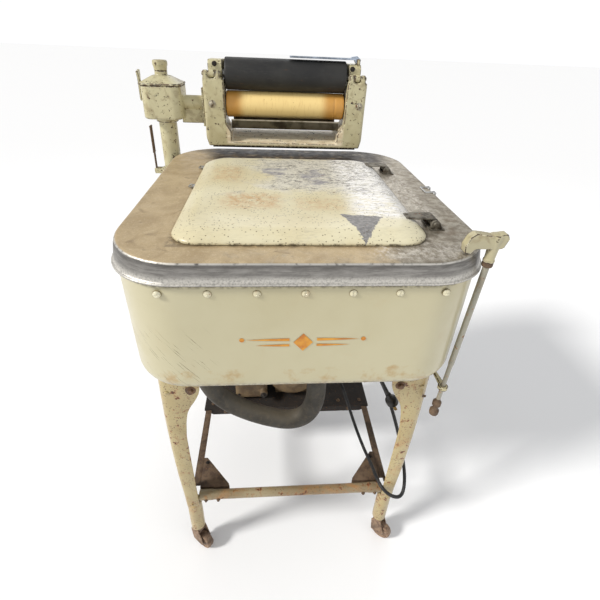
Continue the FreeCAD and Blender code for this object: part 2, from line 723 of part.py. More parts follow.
def pulley(name, radius, bore, at):
    """A grooved belt pulley about Y, its groove centred on the belt."""
    width = S.belt_width
    return turned(name, ((bore, -4), (radius + 8, -4), (radius + 8, -1.2), (radius, 0.2),
                         (radius, width - 0.2), (radius + 8, width + 1.2), (radius + 8, width + 4),
                         (bore, width + 4)), at, "Y")


def belt_loop(radius_low, radius_high, width):
    """A flat-sided solid round two circles in the XZ plane, pulled tight between them."""
    low = (value_of(S.motor_x), value_of(S.motor_z))
    high = (value_of(S.worm_x), value_of(S.worm_z))
    run = math.hypot(high[0] - low[0], high[1] - low[1])
    along = math.atan2(high[1] - low[1], high[0] - low[0])
    lean = math.acos((radius_low - radius_high) / run)
    corners = []
    for side in (1, -1):
        for centre, radius in ((low, radius_low), (high, radius_high)):
            angle = along + side * lean
            corners.append(FreeCAD.Vector(centre[0] + radius * math.cos(angle), 0,
                                          centre[1] + radius * math.sin(angle)))
    low_out = FreeCAD.Vector(low[0] - radius_low * math.cos(along), 0, low[1] - radius_low * math.sin(along))
    high_out = FreeCAD.Vector(high[0] + radius_high * math.cos(along), 0,
                              high[1] + radius_high * math.sin(along))
    first_low, first_high, second_low, second_high = corners
    outline = Part.Wire([Part.LineSegment(first_low, first_high).toShape(),
                         Part.Arc(first_high, high_out, second_high).toShape(),
                         Part.LineSegment(second_high, second_low).toShape(),
                         Part.Arc(second_low, low_out, first_low).toShape()])
    return Part.Face(outline).extrude(FreeCAD.Vector(0, width, 0))


def make_belt_drive():
    """The two pulleys and the belt between them."""
    node(pulley("small_pulley", S.motor_pulley, 6.0, (S.motor_x, S.belt_y, S.motor_z)), "motor_pulley")
    node(pulley("large_pulley", S.gear_pulley, 6.0, (S.worm_x, S.belt_y, S.worm_z)), "gearcase_pulley")
    slack, thick = 0.4, 7.0
    low, high = value_of(S.motor_pulley), value_of(S.gear_pulley)
    side_gap = 1.0
    width = value_of(S.belt_width) - 2 * side_gap
    band = belt_loop(low + slack + thick, high + slack + thick, width)
    band = band.cut(belt_loop(low + slack, high + slack, width))
    belt = document.addObject("Part::Feature", "belt")
    belt.Shape = band
    place(belt, (0, S.belt_y + side_gap, 0))
    return node(belt, "drive_belt")


WHEEL_X = 28.0
WHEEL_Y = 100.0
WHEEL_RADIUS = 38.0
WORM_RADIUS = 13.0
SECTOR_Y = 62.0
GEAR_MODULE = 2.0
PINION_TEETH = 16
SECTOR_TEETH = 64


def make_gearcase():
    """Gearcase casting hung under the tub, hollow, with a deeper sump on its left."""
    main = fillet("case_main_round", box("case_main", (235, 210, 160), (-150, -60, GEARCASE_TOP - 160)),
                  12.0, lambda edge: runs_along(edge, "Z"))
    sump = fillet("case_sump_round", box("case_sump", (91, 121, 216), (-149, 26, GEARCASE_TOP - 372)),
                  12.0, lambda edge: runs_along(edge, "Z"))
    shell = fuse("case_raw", main, sump)
    room = box("case_room", (223, 198, 146), (-144, -54, GEARCASE_TOP - 153))
    sump_room = box("sump_room", (78, 108, 230), (-143, 33, GEARCASE_TOP - 366))
    shaft_way = rod("case_shaft_way", S.shaft_radius + S.running_gap, 20, (0, S.tub_mid, GEARCASE_TOP - 10))
    worm_way = rod("case_worm_way", 6 + S.running_gap, 60, (S.worm_x, 120.0, S.worm_z), "Y")
    plug_boss = rod("sump_plug", 11.0, 14.0, (-68.0, 26.0, 252.0), "-Y")
    bottom_boss = rod("pinion_foot", 15.0, 34.0, (0, S.tub_mid, GEARCASE_TOP - 154))
    bottom_bore = rod("pinion_foot_bore", S.shaft_radius + S.running_gap, 30.0,
                      (0, S.tub_mid, GEARCASE_TOP - 144))
    sector_post = rod("sector_post", 5.0, 88.0, (0, SECTOR_Y, GEARCASE_TOP - 154))
    wheel_post = rod("wheel_post", 5.0, 58.0, (WHEEL_X, WHEEL_Y, GEARCASE_TOP - 62))
    wheel_collar = rod("wheel_collar", 8.0, 2.4, (WHEEL_X, WHEEL_Y, GEARCASE_TOP - 64))
    entry_port = rod("entry_port", 8 + S.running_gap, 40.0, (-105.0, 130.0, 555.0), "Y")
    hollow = cut("case_hollow", shell, room, sump_room, shaft_way, worm_way, entry_port)
    foot = cut("pinion_bearing", bottom_boss, bottom_bore)
    return node(fuse("case", hollow, plug_boss, foot, sector_post, wheel_post,
                     wheel_collar), "gearcase_housing")


def toothed(name, teeth, thick, at, first=0.0, sweep=360.0, hub=12.0):
    """A plain spur gear, or a sector of one, with straight-sided teeth and backlash."""
    pitch = GEAR_MODULE * teeth / 2
    tip, root = pitch + 0.8 * GEAR_MODULE, pitch - 1.1 * GEAR_MODULE
    step = 360.0 / teeth
    outline = []
    count = int(round(sweep / step))
    for index in range(count):
        middle = first + (index - (count - 1) / 2) * step
        for share, radius in ((-0.36, root), (-0.10, tip), (0.10, tip), (0.36, root)):
            angle = math.radians(middle + share * step)
            outline.append(FreeCAD.Vector(radius * math.cos(angle), radius * math.sin(angle), 0))
    if sweep < 360:
        outline.append(FreeCAD.Vector(0, 0, 0))
    face = Part.Face(Part.makePolygon(outline + outline[:1]))
    shape = face.extrude(FreeCAD.Vector(0, 0, thick))
    shape = shape.fuse(Part.makeCylinder(hub, thick)).removeSplitter()
    thing = document.addObject("Part::Feature", name)
    thing.Shape = shape
    return place(thing, at)


def make_gears():
    """Worm shaft, worm wheel with its crank, the rocking sector and the agitator's shaft."""
    worm_shaft = rod("worm_bar", 6.0, S.belt_y + S.belt_width + 8 - 62, (S.worm_x, 62.0, S.worm_z), "Y")
    threads = [turned("worm_ring", ((5, 0), (WORM_RADIUS - 3, 0), (WORM_RADIUS, 1.4), (WORM_RADIUS, 2.8),
                                    (WORM_RADIUS - 3, 4.2), (5, 4.2)),
                      (S.worm_x, 76.0 + 6.2 * index, S.worm_z), "Y") for index in range(8)]
    core = rod("worm_core", WORM_RADIUS - 3, 49.0, (S.worm_x, 75.0, S.worm_z), "Y")
    node(fuse("worm", worm_shaft, core, *threads), "worm_shaft")

    disc = rod("wheel_disc", WHEEL_RADIUS, 14.0, (WHEEL_X, WHEEL_Y, S.worm_z - 7))
    crank_boss = rod("crank_boss", 6.0, 12.0, (WHEEL_X + 24, WHEEL_Y, S.worm_z - 17.4))
    wheel_bore = rod("wheel_bore", 5.0 + S.running_gap, 30.0, (WHEEL_X, WHEEL_Y, S.worm_z - 20))
    node(cut("worm_gear", fuse("wheel_crank", disc, crank_boss), wheel_bore), "worm_wheel")

    level = 508.0
    sector = toothed("sector_teeth", SECTOR_TEETH, 14.0, (0, SECTOR_Y, level), -90.0, 84.0)
    arm = box("sector_arm", (60.0, 18.0, 8.0), (0, SECTOR_Y - 9, level + 3))
    link = box("rocker_link", (8.0, 40.0, 5.0), (49.0, SECTOR_Y, level + 14.0))
    link_pin = rod("rocker_pin", 5.0, 16.0, (53.0, SECTOR_Y, level + 3.0))
    sector_bore = rod("sector_bore", 5.0 + S.running_gap, 40.0, (0, SECTOR_Y, level - 10))
    node(cut("sector", fuse("sector_raw", sector, arm, link, link_pin), sector_bore), "sector_gear")

    pinion = toothed("pinion_teeth", PINION_TEETH, 18.0, (0, S.tub_mid, level - 2), 90.0)
    shaft = rod("agitator_bar", S.shaft_radius, 330.0, (0, S.tub_mid, 458.0))
    return node(fuse("agitator_drive", pinion, shaft), "agitator_shaft")


def make_agitator():
    """Four-vaned agitator that drops over the sleeve and onto the shaft's top."""
    centre = (0, S.tub_mid)
    skirt = turned("agitator_skirt", ((0, 0), (102, 0), (102, 5), (70, 16), (38, 34), (30, 60), (26, 190),
                                      (18, 204), (0, 208)), centre + (610.0,))
    vanes = []
    for quarter in range(4):
        vane = prism("vane_%d" % quarter, "XZ",
                     ((20, 4), (98, 4), (98, 24), (72, 44), (44, 78), (34, 130), (20, 150)), 7.0,
                     centre + (610.0,))
        turn = math.radians(90 * quarter)
        place(vane, (3.5 * math.sin(turn), S.tub_mid - 3.5 * math.cos(turn), 610.0), 90.0 * quarter)
        vanes.append(vane)
    well = rod("agitator_well", S.shaft_radius + 9.5, 142.0, centre + (609.0,))
    socket = rod("agitator_socket", S.shaft_radius + 0.02, 40.0, centre + (749.0,))
    hollow = cone("agitator_hollow", 96.0, 20.0, 26.0, centre + (609.9,))
    return node(cut("agitator_whole", fuse("agitator_raw", skirt, *vanes), well, socket, hollow), "agitator")


# ---------------------------------------------------------------- wringer post and head
def make_post():
    """Rear beam with the post's collar, the post, and the drive shafts that serve it."""
    centre = (S.post_x, S.post_y)
    beam = box("beam", (540.0, 20.0, 20.0), (-290.0, S.post_y - 2, S.casing_base - 20.4))
    collar = rod("collar", 32.0, 60.0, centre + (585.0,))
    foot = box("post_foot", (62.0, 62.0, 62.0), (S.post_x - 31, S.post_y - 31, 524.0))
    drop = box("angle_box", (58.0, 58.0, 74.0), (-134.0, S.post_y - 32, 531.0))
    bore = rod("collar_bore", S.post_radius + 0.02, 70.0, centre + (584.0,))
    foot_room = box("foot_room", (50.0, 50.0, 50.0), (S.post_x - 25, S.post_y - 25, 530.0))
    drop_room = box("drop_room", (46.0, 46.0, 46.0), (-128.0, S.post_y - 26, 537.0))
    cross_way = rod("cross_way", 8 + S.running_gap, 200.0, (S.post_x, S.post_y, 555.0), "X")
    entry_way = rod("entry_way", 8 + S.running_gap, 60.0, (-105.0, S.post_y - 50, 555.0), "Y")
    shaft_way = rod("foot_shaft_way", S.shaft_radius + 3, 30.0, centre + (570.0,))
    node(cut("beam_whole", fuse("beam_raw", beam, collar, foot, drop), bore, foot_room, drop_room,
             cross_way, entry_way, shaft_way), "rear_beam")

    tube = rod("post_tube", S.post_radius, S.post_top - 586, centre + (586.0,))
    tube_bore = rod("post_bore", S.post_radius - 4, S.post_top - 580, centre + (583.0,))
    bushes = []
    for level in (592.0, S.post_top - 22):
        bush = rod("bush", S.post_radius - 3.5, 16.0, centre + (level,))
        bushes.append(cut("bush_ring", bush, rod("bush_bore", S.shaft_radius + S.running_gap, 20.0,
                                                 centre + (level - 2,))))
    stop = rod("post_stop", S.post_radius + 5, 9.0, centre + (S.post_top - 15.4,))
    stop_bore = rod("post_stop_bore", S.post_radius - 1, 12.0, centre + (S.post_top - 17,))
    node(fuse("post", cut("post_hollow", tube, tube_bore), cut("stop_ring", stop, stop_bore), *bushes),
         "wringer_post")

    upright = rod("upright", S.shaft_radius, 413.0, centre + (560.0,))
    top_bevel = cone("top_bevel", 16.0, 10.0, 6.0, centre + (S.lower_z - 16.6,))
    foot_bevel = cone("foot_bevel", 10.0, 16.0, 6.0, centre + (565.6,))
    node(fuse("post_drive", cut("upright_short", upright, rod("upright_foot", 12.0, 8.0, centre + (557.6,))),
              top_bevel, foot_bevel), "post_shaft")

    cross = rod("cross_bar", 8.0, 182.4, (S.post_x + 10.4, S.post_y, 555.0), "X")
    cross_left = cone("cross_left", 10.0, 16.0, 6.0, (S.post_x + 10.4, S.post_y, 555.0), "X")
    cross_right = cone("cross_right", 16.0, 10.0, 6.0, (-121.6, S.post_y, 555.0), "X")
    node(fuse("cross_drive", cross, cross_left, cross_right), "cross_shaft")

    entry = rod("entry_bar", 8.0, 140.0, (-105.0, 128.0, 555.0), "Y")
    entry_bevel = cone("entry_bevel", 16.0, 10.0, 6.0, (-105.0, S.post_y - 16.4, 555.0), "Y")
    return node(fuse("entry_drive", entry, entry_bevel), "transfer_shaft")


def make_head():
    """Wringer head that turns on the post: gear housing with its arm, domed cover and oil cap."""
    left, base, seam = S.post_x - 46, 947.0, 1020.0
    block = box("head_block", (92.0, 96.0, seam - base), (left, S.post_y - 48, base))
    rounded = fillet("head_round", block, 22.0, lambda edge: runs_along(edge, "Z"))
    softened = fillet("head_soft", rounded, 5.0, lambda edge: edge.BoundBox.ZMax < base + 0.1)
    arm = rod("arm_tube", 16.5, 58.0, (S.post_x + 38, S.post_y, S.lower_z), "X")
    web = box("arm_web", (56.0, 18.0, 34.0), (S.post_x + 38, S.post_y - 9, S.lower_z - 46))
    flange = box("arm_flange", (5.0, 56.0, 86.0), (S.frame_left - 5.2, S.post_y - 28, S.lower_z - 50))
    boss = rod("lever_boss", 10.0, 6.0, (left, S.post_y, 990.0), "-X")
    hole = rod("head_bore", S.post_radius + S.running_gap, 18.2, (S.post_x, S.post_y, base - 1))
    room = rod("head_room", 36.0, seam - base, (S.post_x, S.post_y, base + 17))
    way = rod("arm_bore", S.shaft_radius + S.running_gap, 120.0, (S.post_x + 10, S.post_y, S.lower_z), "X")
    lever_way = rod("lever_bore", 4 + S.running_gap, 40.0, (left + 20, S.post_y, 990.0), "-X")
    node(cut("head_whole", fuse("head_raw", softened, arm, web, flange, boss), hole, room, way, lever_way),
         "wringer_head")

    cover_x = S.post_x - 2
    body = new_body("cover_body", (cover_x, S.post_y, seam + 0.1))
    rim = sketch_on(body, "XY", "cover_rim")
    draw_rounded(rim, 98.0, 98.0, 23.0)
    pad(body, rim, 5.0)
    brow = sketch_on(body, "XY", "cover_brow", 5.0)
    draw_rounded(brow, 92.0, 92.0, 21.0)
    crown = sketch_on(body, "XY", "cover_crown", 19.0)
    draw_rounded(crown, 42.0, 42.0, 16.0)
    loft(body, [brow, crown])
    neck = rod("cover_neck", 14.5, 12.0, (cover_x, S.post_y, seam + 17))
    cover_hole = rod("cover_hole", 10.0, 40.0, (cover_x, S.post_y, seam - 4))
    node(cut("cover_whole", fuse("cover_raw", body, neck), cover_hole), "head_cover")

    cap = turned("cap_body", ((0, 0), (14.5, 0), (15.5, 8), (17, 12), (17, 19), (15, 22), (0, 23)),
                 (cover_x, S.post_y, seam + 29.1))
    stem = rod("cap_stem", 9.9, 12.0, (cover_x, S.post_y, seam + 18))
    node(fuse("cap", cap, stem), "oil_cap")

    hub = rod("lever_hub", 8.0, 5.0, (left - 6.3, S.post_y, 990.0), "-X")
    pivot = rod("lever_pivot", 4.0, 20.0, (left - 8, S.post_y, 990.0), "X")
    handle = prism("lever_arm", "YZ", ((-7, 0), (-6, 42), (-12, 56), (8, 60), (9, 50), (6, 40), (7, 0)), 5.0,
                   (left - 11.3, S.post_y, 990.0))
    return node(fuse("lever", hub, pivot, handle), "wringer_control_lever")


def make_swing_lock():
    """Loop lever low on the post that frees the wringer to swing, pivoted on a clamp."""
    clamp = rod("clamp", 29.0, 16.0, (S.post_x, S.post_y, 806.0))
    clamp_bore = rod("clamp_bore", S.post_radius + 0.02, 20.0, (S.post_x, S.post_y, 804.0))
    ears = [box("clamp_ear", (22.0, 3.0, 14.0), (S.post_x - 48, at_y, 807.0))
            for at_y in (S.post_y - 8, S.post_y + 5)]
    pin = rod("clamp_pin", 2.0, 16.0, (S.post_x - 44, S.post_y - 8, 814.0), "Y")
    whole = fuse("clamp_whole", cut("clamp_ring", fuse("clamp_raw", clamp, *ears), clamp_bore), pin)
    hub = rod("lock_hub", 5.0, 8.0, (S.post_x - 44, S.post_y - 4, 814.0), "Y")
    stalk = rod("lock_stalk", 2.5, 46.0, (S.post_x - 44, S.post_y, 816.0))
    sides = [rod("loop_side", 2.2, 62.0, (S.post_x - 44, S.post_y + offset, 862.0)) for offset in (-5, 5)]
    ends = [rod("loop_end", 2.2, 14.4, (S.post_x - 44, S.post_y - 7.2, level), "Y")
            for level in (862.0, 924.0)]
    bore = rod("lock_bore", 2.0 + S.running_gap, 20.0, (S.post_x - 44, S.post_y - 10, 814.0), "Y")
    node(cut("lock", fuse("lock_raw", hub, stalk, *(sides + ends)), bore), "swing_lock_lever")
    return whole


# ---------------------------------------------------------------- wringer
SLOT = 32.0
KNUCKLE = 8.0
RELEASE_X = 160.0
RELEASE_Z = 1084.5


def make_wringer_frame():
    """Cast U frame: two columns over a trough, slotted for the bearings, with hinge knuckles."""
    left, right = S.frame_left, S.frame_right
    body = new_body("u_body", (0, S.frame_front, 0))
    outline = sketch_on(body, "XZ", "u_outline")
    draw_polygon(outline, ((left + 6, S.frame_base), (right - 6, S.frame_base), (right, 908),
                           (right, S.column_top), (right - S.column_right, S.column_top),
                           (right - S.column_right - 2, 942), (right - S.column_right - 18, 918),
                           (left + S.column_left + 18, 918), (left + S.column_left + 2, 942),
                           (left + S.column_left, S.column_top), (left, S.column_top), (left, 908)))
    pad(body, outline, S.frame_deep, backwards=True)
    round_body(body, 7.0, lambda edge: runs_along(edge, "Z") and edge.Length > 60)
    middle = S.frame_front + S.frame_deep / 2
    span = right - left
    slot = box("bearing_slot", (span + 20, SLOT, 100), (left - 10, middle - SLOT / 2, 964.0))
    notch = box("bearing_notch", (span + 20, SLOT + 10, 20), (left - 10, middle - SLOT / 2 - 4, 1029.5))
    board_way = rod("board_way", 4 + S.running_gap, span + 20, (left - 10, middle, 932.0), "X")
    bolt_way = rod("bolt_way", 11.5, 8.0, (left - 1, middle, S.lower_z), "X")
    knuckles = []
    for near, far in ((left + 2, left + 14), (left + 29.5, left + 41.5),
                      (right - 45, right - 33), (right - 17.5, right - 5.5)):
        knuckles.append(rod("knuckle", KNUCKLE, far - near, (near, S.knuckle_y, S.knuckle_z), "X"))
        knuckles.append(box("knuckle_root", (far - near, 2 * KNUCKLE, S.knuckle_z - S.column_top + 2),
                            (near, S.knuckle_y - KNUCKLE, S.column_top - 2)))
    pins = [rod("knuckle_pin", 3.0, 39.5, (start, S.knuckle_y, S.knuckle_z), "X")
            for start in (left + 2, right - 45)]
    hollow = cut("u_cut", fuse("u_knuckled", body, *knuckles), slot, notch, board_way, bolt_way)
    return node(fuse("u_whole", hollow, *pins), "wringer_frame")


def make_bearings():
    """Blocks in the column slots that carry the lower roll's shaft."""
    middle = S.frame_front + S.frame_deep / 2
    blocks = []
    for near, long in ((S.frame_left + 8, 36.0), (S.frame_right - 44, 36.0)):
        block = box("bearing_block", (long, SLOT - 0.2, 62.0), (near, middle - SLOT / 2 + 0.1, 964.1))
        bore = rod("bearing_bore", S.shaft_radius + S.running_gap, long + 4,
                   (near - 2, middle, S.lower_z), "X")
        blocks.append(cut("bearing", block, bore))
    return node(group("bearings", *blocks), "roll_bearings")


def make_top_frame():
    """Hinged top: two end castings with the upper bearings, joined by a rear bar and a leaf spring."""
    left, right = S.frame_left, S.frame_right
    middle = S.frame_front + S.frame_deep / 2
    parts = []
    for near, far, knuckle_near in ((left + 13, left + 46, left + 14.5),
                                    (right - 45, right - 16, right - 32.5)):
        width = far - near
        cheek = prism("end_casting", "YZ",
                      ((-18, 0), (40, 0), (40, 36), (-14, 36), (-22, 28), (-22, 12)), width,
                      (near, middle, 1041.5))
        bearing = box("upper_bearing", (width, SLOT - 4, 20), (near, middle - SLOT / 2 + 2, 1030.5))
        tongue = rod("top_knuckle", KNUCKLE - 0.5, 14.5, (knuckle_near, S.knuckle_y, S.knuckle_z), "X")
        lug = box("top_lug", (14.5, 18, 10), (knuckle_near, S.knuckle_y, S.knuckle_z - 2))
        parts += [cheek, bearing, tongue, lug]
    parts.append(box("rear_bar", (right - left - 35, 7, 26), (left + 16, middle + 38, 1046.0)))
    for ear_y in (middle - 19, middle - 3.5):
        parts.append(box("release_ear", (9, 2.5, 13), (RELEASE_X - 4.5, ear_y, RELEASE_Z - 8)))
    release_pin = rod("release_pin", 2.0, 18.0, (RELEASE_X, middle - 19, RELEASE_Z), "Y")
    spring = box("leaf_spring", (right - left - 50, 12, 3), (left + 20, middle + 26.5, 1074.0))
    bores = [rod("upper_bore", 8 + S.running_gap, right - left, (left, middle, S.upper_z), "X"),
             rod("pin_bore", 3 + S.running_gap, right - left, (left, S.knuckle_y, S.knuckle_z), "X")]
    roll_room = rod("upper_room", S.upper_radius + 1.0, S.roll_right - S.roll_left + 5,
                    (S.roll_left - 2.5, middle, S.upper_z), "X")
    whole = cut("top_cut", fuse("top_raw", spring, *parts), roll_room, *bores)
    return node(fuse("top_whole", whole, release_pin), "top_frame")


def make_rolls():
    """Rubber rolls on their shafts; the lower shaft runs through the arm to its bevel gear."""
    middle = S.frame_front + S.frame_deep / 2
    length = S.roll_right - S.roll_left
    for name, level, radius, bore in (("upper_roll", S.upper_z, S.upper_radius, 8.0),
                                      ("lower_roll", S.lower_z, S.lower_radius, S.shaft_radius)):
        node(turned(name + "_rubber", ((bore, 0), (radius - 2, 0), (radius, 2), (radius, length - 2),
                                       (radius - 2, length), (bore, length)),
                    (S.roll_left, middle, level), "X"), name)
    upper = rod("upper_bar", 8.0, S.frame_right - S.frame_left - 34,
                (S.frame_left + 15, middle, S.upper_z), "X")
    node(upper, "upper_roll_shaft")
    lower = rod("lower_bar", S.shaft_radius, S.frame_right - S.post_x - 20.4,
                (S.post_x + 10.4, middle, S.lower_z), "X")
    bevel = cone("roll_bevel", 10.0, 16.0, 6.0, (S.post_x + 10.4, middle, S.lower_z), "X")
    return node(fuse("lower_drive", lower, bevel), "lower_roll_shaft")


def make_drain_board():
    """Tilting tray under the lower roll, on stub pins in the columns."""
    middle = S.frame_front + S.frame_deep / 2
    near, long = S.roll_left + 12, S.roll_right - S.roll_left - 24
    tray = prism("tray", "YZ", ((-33, -3), (32, -3), (36, 2), (34, 3.5), (31, -1), (-31, -1), (-34, 17),
                                (-31, 18), (-31, 20), (-36.5, 19)), long, (near, middle, 932.0))
    reach = 18.0
    pins = [rod("tray_pin", 4.0, reach + 14, (near - reach, middle, 932.0), "X"),
            rod("tray_pin", 4.0, reach + 14, (near + long - 14, middle, 932.0), "X")]
    return node(fuse("tray_whole", tray, *pins), "drain_board")


def make_release_lever():
    """Flat pressure-release bar on top of the wringer, pivoted at the right end casting."""
    middle = S.frame_front + S.frame_deep / 2
    bar = box("release_bar", (152.0, 20.0, 4.0), (-2.0, middle - 20, 1086.5))
    arm = prism("release_arm", "XZ", ((138, 1086.5), (150, 1086.5), (154, 1080), (164, 1080),
                                      (165, 1088), (156, 1095), (144, 1093)), 12.0, (0, middle - 16, 0))
    bore = rod("release_bore", 2 + S.running_gap, 20.0, (RELEASE_X, middle - 20, RELEASE_Z), "Y")
    return node(cut("release", fuse("release_raw", bar, arm), bore), "release_lever")


# ---------------------------------------------------------------- agitator control
CONTROL_LEAN = math.radians(2.1)
CONTROL_WAY = FreeCAD.Vector(math.sin(CONTROL_LEAN), 0, math.cos(CONTROL_LEAN))
CONTROL_PIVOT = 862.0


def on_control(height, forward=0):
    """A place on the control rod's line, which leans so that its foot stands in under the tub."""
    reach = height - CONTROL_PIVOT
    return (S.rod_x + reach * CONTROL_WAY.x, S.rod_y - forward, CONTROL_PIVOT + reach * CONTROL_WAY.z)


def make_control():
    """Leaning control rod at the front right corner, its cast handle, and the guide on the leg."""
    lower = rod("rod_low", S.rod_radius - 1, 100.0, on_control(555), CONTROL_WAY)
    upper = rod("rod_high", S.rod_radius, 210.0, on_control(645), CONTROL_WAY)
    fitting = turned("rod_end", ((0, 0), (7, 0), (9, 4), (9, 12), (5, 15), (5, 22), (8, 26), (8, 34),
                                 (4, 38), (0, 38)), on_control(518), CONTROL_WAY)
    node(fuse("control", lower, upper, fitting), "control_rod")

    socket = turned("socket", ((0, 0), (8.5, 0), (8.5, 4), (7.5, 5), (8.5, 30), (9.5, 44), (0, 46)),
                    on_control(851), CONTROL_WAY)
    saddle = prism("saddle", "XZ", ((8, 24), (-30, 22), (-35, 15), (-44, 15), (-46, 26), (-41, 40), (-34, 46),
                                    (-22, 45), (-6, 43), (5, 46), (12, 47), (16, 40), (12, 26)),
                   15.0, on_control(851, 7.5), CONTROL_WAY)
    hole = rod("socket_bore", S.rod_radius, 15.0, on_control(840), CONTROL_WAY)
    node(cut("handle_whole", fuse("handle_raw", socket, saddle), hole), "control_handle")

    eye = rod("guide_eye", 9.0, 8.0, on_control(586), CONTROL_WAY)
    tab = prism("guide_tab", "XY", ((-4.7, 6), (-4.7, 52), (-0.5, 52), (5, 8), (4, -4)), 6.0,
                on_control(587), CONTROL_WAY)
    eye_bore = rod("guide_bore", S.rod_radius - 1 + S.running_gap, 20.0, on_control(580), CONTROL_WAY)
    return cut("guide", fuse("guide_raw", eye, tab), eye_bore)


# ---------------------------------------------------------------- hose, cord and plug
HOSE_ROUTE = (
    (52, -121, 566), (52, -121, 505), (59, -122, 440), (59, -122, 378), (42, -122, 326), (0, -121, 305),
    (-58, -120, 321), (-114, -119, 349), (-160, -118, 384), (-189, -118, 430), (-201, -119, 490),
    (-205, -120, 550), (-205, -121, 618),
)
CORD_ROUTE = (
    (98, 66, 296), (122, 66, 296), (140, 32, 301), (148, -12, 309), (160, -52, 282), (176, -88, 242),
    (186, -124, 226), (193, -164, 225), (200, -204, 229), (203, -238, 233), (211, -264, 231),
    (232, -273, 216), (256, -269, 203), (269, -254, 210), (271, -234, 242), (264, -208, 286),
    (252, -190, 334), (236, -174, 384), (218, -162, 432), (194, -156, 482), (168, -160, 534),
    (157, -172, 572), (158, -190, 577), (168, -203, 546), (184, -206, 514), (199, -207, 486),
)


def make_hose():
    """Rubber drain hose from the tub's spigot, hung in a loop and held up at its far end."""
    return node(tube_along("hose", HOSE_ROUTE, S.hose_radius), "drain_hose")


def make_cord():
    """Power cord from the motor, and the plug on its end."""
    node(tube_along("cord", CORD_ROUTE, S.cord_radius), "power_cord")
    end = FreeCAD.Vector(*CORD_ROUTE[-1])
    along = end - FreeCAD.Vector(*CORD_ROUTE[-2])
    along.normalize()
    shapes = [Part.makeCone(5.5, 13, 16, end, along),
              Part.makeCylinder(13, 16, end + along * 16, along)]
    side = FreeCAD.Vector(0, 1, 0)
    for offset in (-6.3, 6.3):
        prong = Part.makeBox(6.4, 1.6, 18, FreeCAD.Vector(-3.2, offset - 0.8, 0))
        turn = FreeCAD.Rotation(FreeCAD.Vector(0, 0, 1), along)
        prong.Placement = FreeCAD.Placement(end + along * 31, turn)
        shapes.append(prong)
    thing = document.addObject("Part::Feature", "plug_solid")
    thing.Shape = shapes[0].multiFuse(shapes[1:])
    place(thing)
    return node(thing, "plug")


def make_hooks():
    """Peg under the tub that holds the cord up, and the clip on the casing lip for the hose."""
    peg = rod("peg", 4.5, 30.0, (142.0, -185.0, 566.5), "X")
    stem = box("peg_stem", (7.0, 6.0, 33.1), (144.0, -188.0, 566.5))
    ring = rod("clip_ring", S.hose_radius + 3, 12.0, (-205.0, -120.5, 580.0))
    ring_bore = rod("clip_bore", S.hose_radius + 0.6, 20.0, (-205.0, -120.5, 576.0))
    tab = box("clip_tab", (14.0, 20.0, S.casing_base - 580.4), (-243.0, -130.5, 580.0))
    return fuse("cord_peg", peg, stem), cut("hose_clip", fuse("clip_raw", ring, tab), ring_bore)


# ---------------------------------------------------------------- whole machine
def main():
    """Build every piece, check it, and write it out."""
    for make in (make_rim, make_casing, make_bowl, make_screws, make_lid, make_legs, make_casters,
                 make_lower_frame, make_motor, make_belt_drive, make_gearcase, make_gears, make_agitator,
                 make_post, make_head, make_wringer_frame, make_bearings, make_top_frame, make_rolls,
                 make_drain_board, make_release_lever, make_hose, make_cord):
        make()
    brackets = (make_swing_lock(), make_control()) + make_hooks()
    node(group("brackets_group", *brackets), "guide_clamp_and_hooks")
    document.recompute()
    faults = [thing.Name for thing in document.Objects
              if "Invalid" in thing.State or "Error" in thing.State]
    faults += [thing.Label for thing in NODES if thing.Shape.isNull() or not thing.Shape.isValid()]
    if faults:
        raise RuntimeError("failed pieces: " + ", ".join(faults))
    os.makedirs("parts", exist_ok=True)
    whole = FreeCAD.BoundBox()
    for thing in NODES:
        thing.Shape.exportStep("parts/%s.step" % thing.Label)
        print("%-26s solids %d volume %.0f" % (thing.Label, len(thing.Shape.Solids), thing.Shape.Volume))
        whole.add(thing.Shape.BoundBox)
    print("nodes", len(NODES), "box", whole)


main()
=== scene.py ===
import math
import random

import bmesh
import bpy
from mathutils import Matrix, Vector, noise


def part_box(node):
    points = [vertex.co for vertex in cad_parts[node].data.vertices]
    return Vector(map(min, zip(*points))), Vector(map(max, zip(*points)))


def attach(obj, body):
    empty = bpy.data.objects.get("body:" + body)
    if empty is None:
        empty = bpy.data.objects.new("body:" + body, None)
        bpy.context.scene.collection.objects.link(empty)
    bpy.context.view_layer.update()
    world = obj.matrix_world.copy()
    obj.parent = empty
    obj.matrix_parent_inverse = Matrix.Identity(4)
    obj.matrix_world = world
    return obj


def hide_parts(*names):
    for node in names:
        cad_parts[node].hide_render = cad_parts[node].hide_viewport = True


# Looks of a wringer washing machine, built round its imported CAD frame.
# Places are written in millimetres from the tub's upright middle line (x to the right, y to the
# back) and from the floor; at() turns them into the shared frame, which is in metres.

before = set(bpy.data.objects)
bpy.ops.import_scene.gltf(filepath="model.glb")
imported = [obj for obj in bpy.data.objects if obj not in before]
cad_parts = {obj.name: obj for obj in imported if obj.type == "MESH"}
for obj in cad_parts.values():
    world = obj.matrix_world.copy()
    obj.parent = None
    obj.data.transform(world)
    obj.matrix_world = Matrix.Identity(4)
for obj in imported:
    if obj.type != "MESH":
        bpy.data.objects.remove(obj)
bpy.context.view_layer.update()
MM = 0.001
rim_low, rim_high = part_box("tub_rim")
MIDDLE = Vector(((rim_low.x + rim_high.x) / 2, (rim_low.y + rim_high.y) / 2, 0))


def at(x, y, z):
    """A point in the shared frame."""
    return MIDDLE + Vector((x, y, z)) * MM


def add_object(name, data):
    """An object of some data, put in the scene."""
    thing = bpy.data.objects.new(name, data)
    bpy.context.scene.collection.objects.link(thing)
    return thing


def solid(name, mesh):
    """An object that a bmesh is emptied into."""
    data = bpy.data.meshes.new(name)
    mesh.to_mesh(data)
    mesh.free()
    return add_object(name, data)


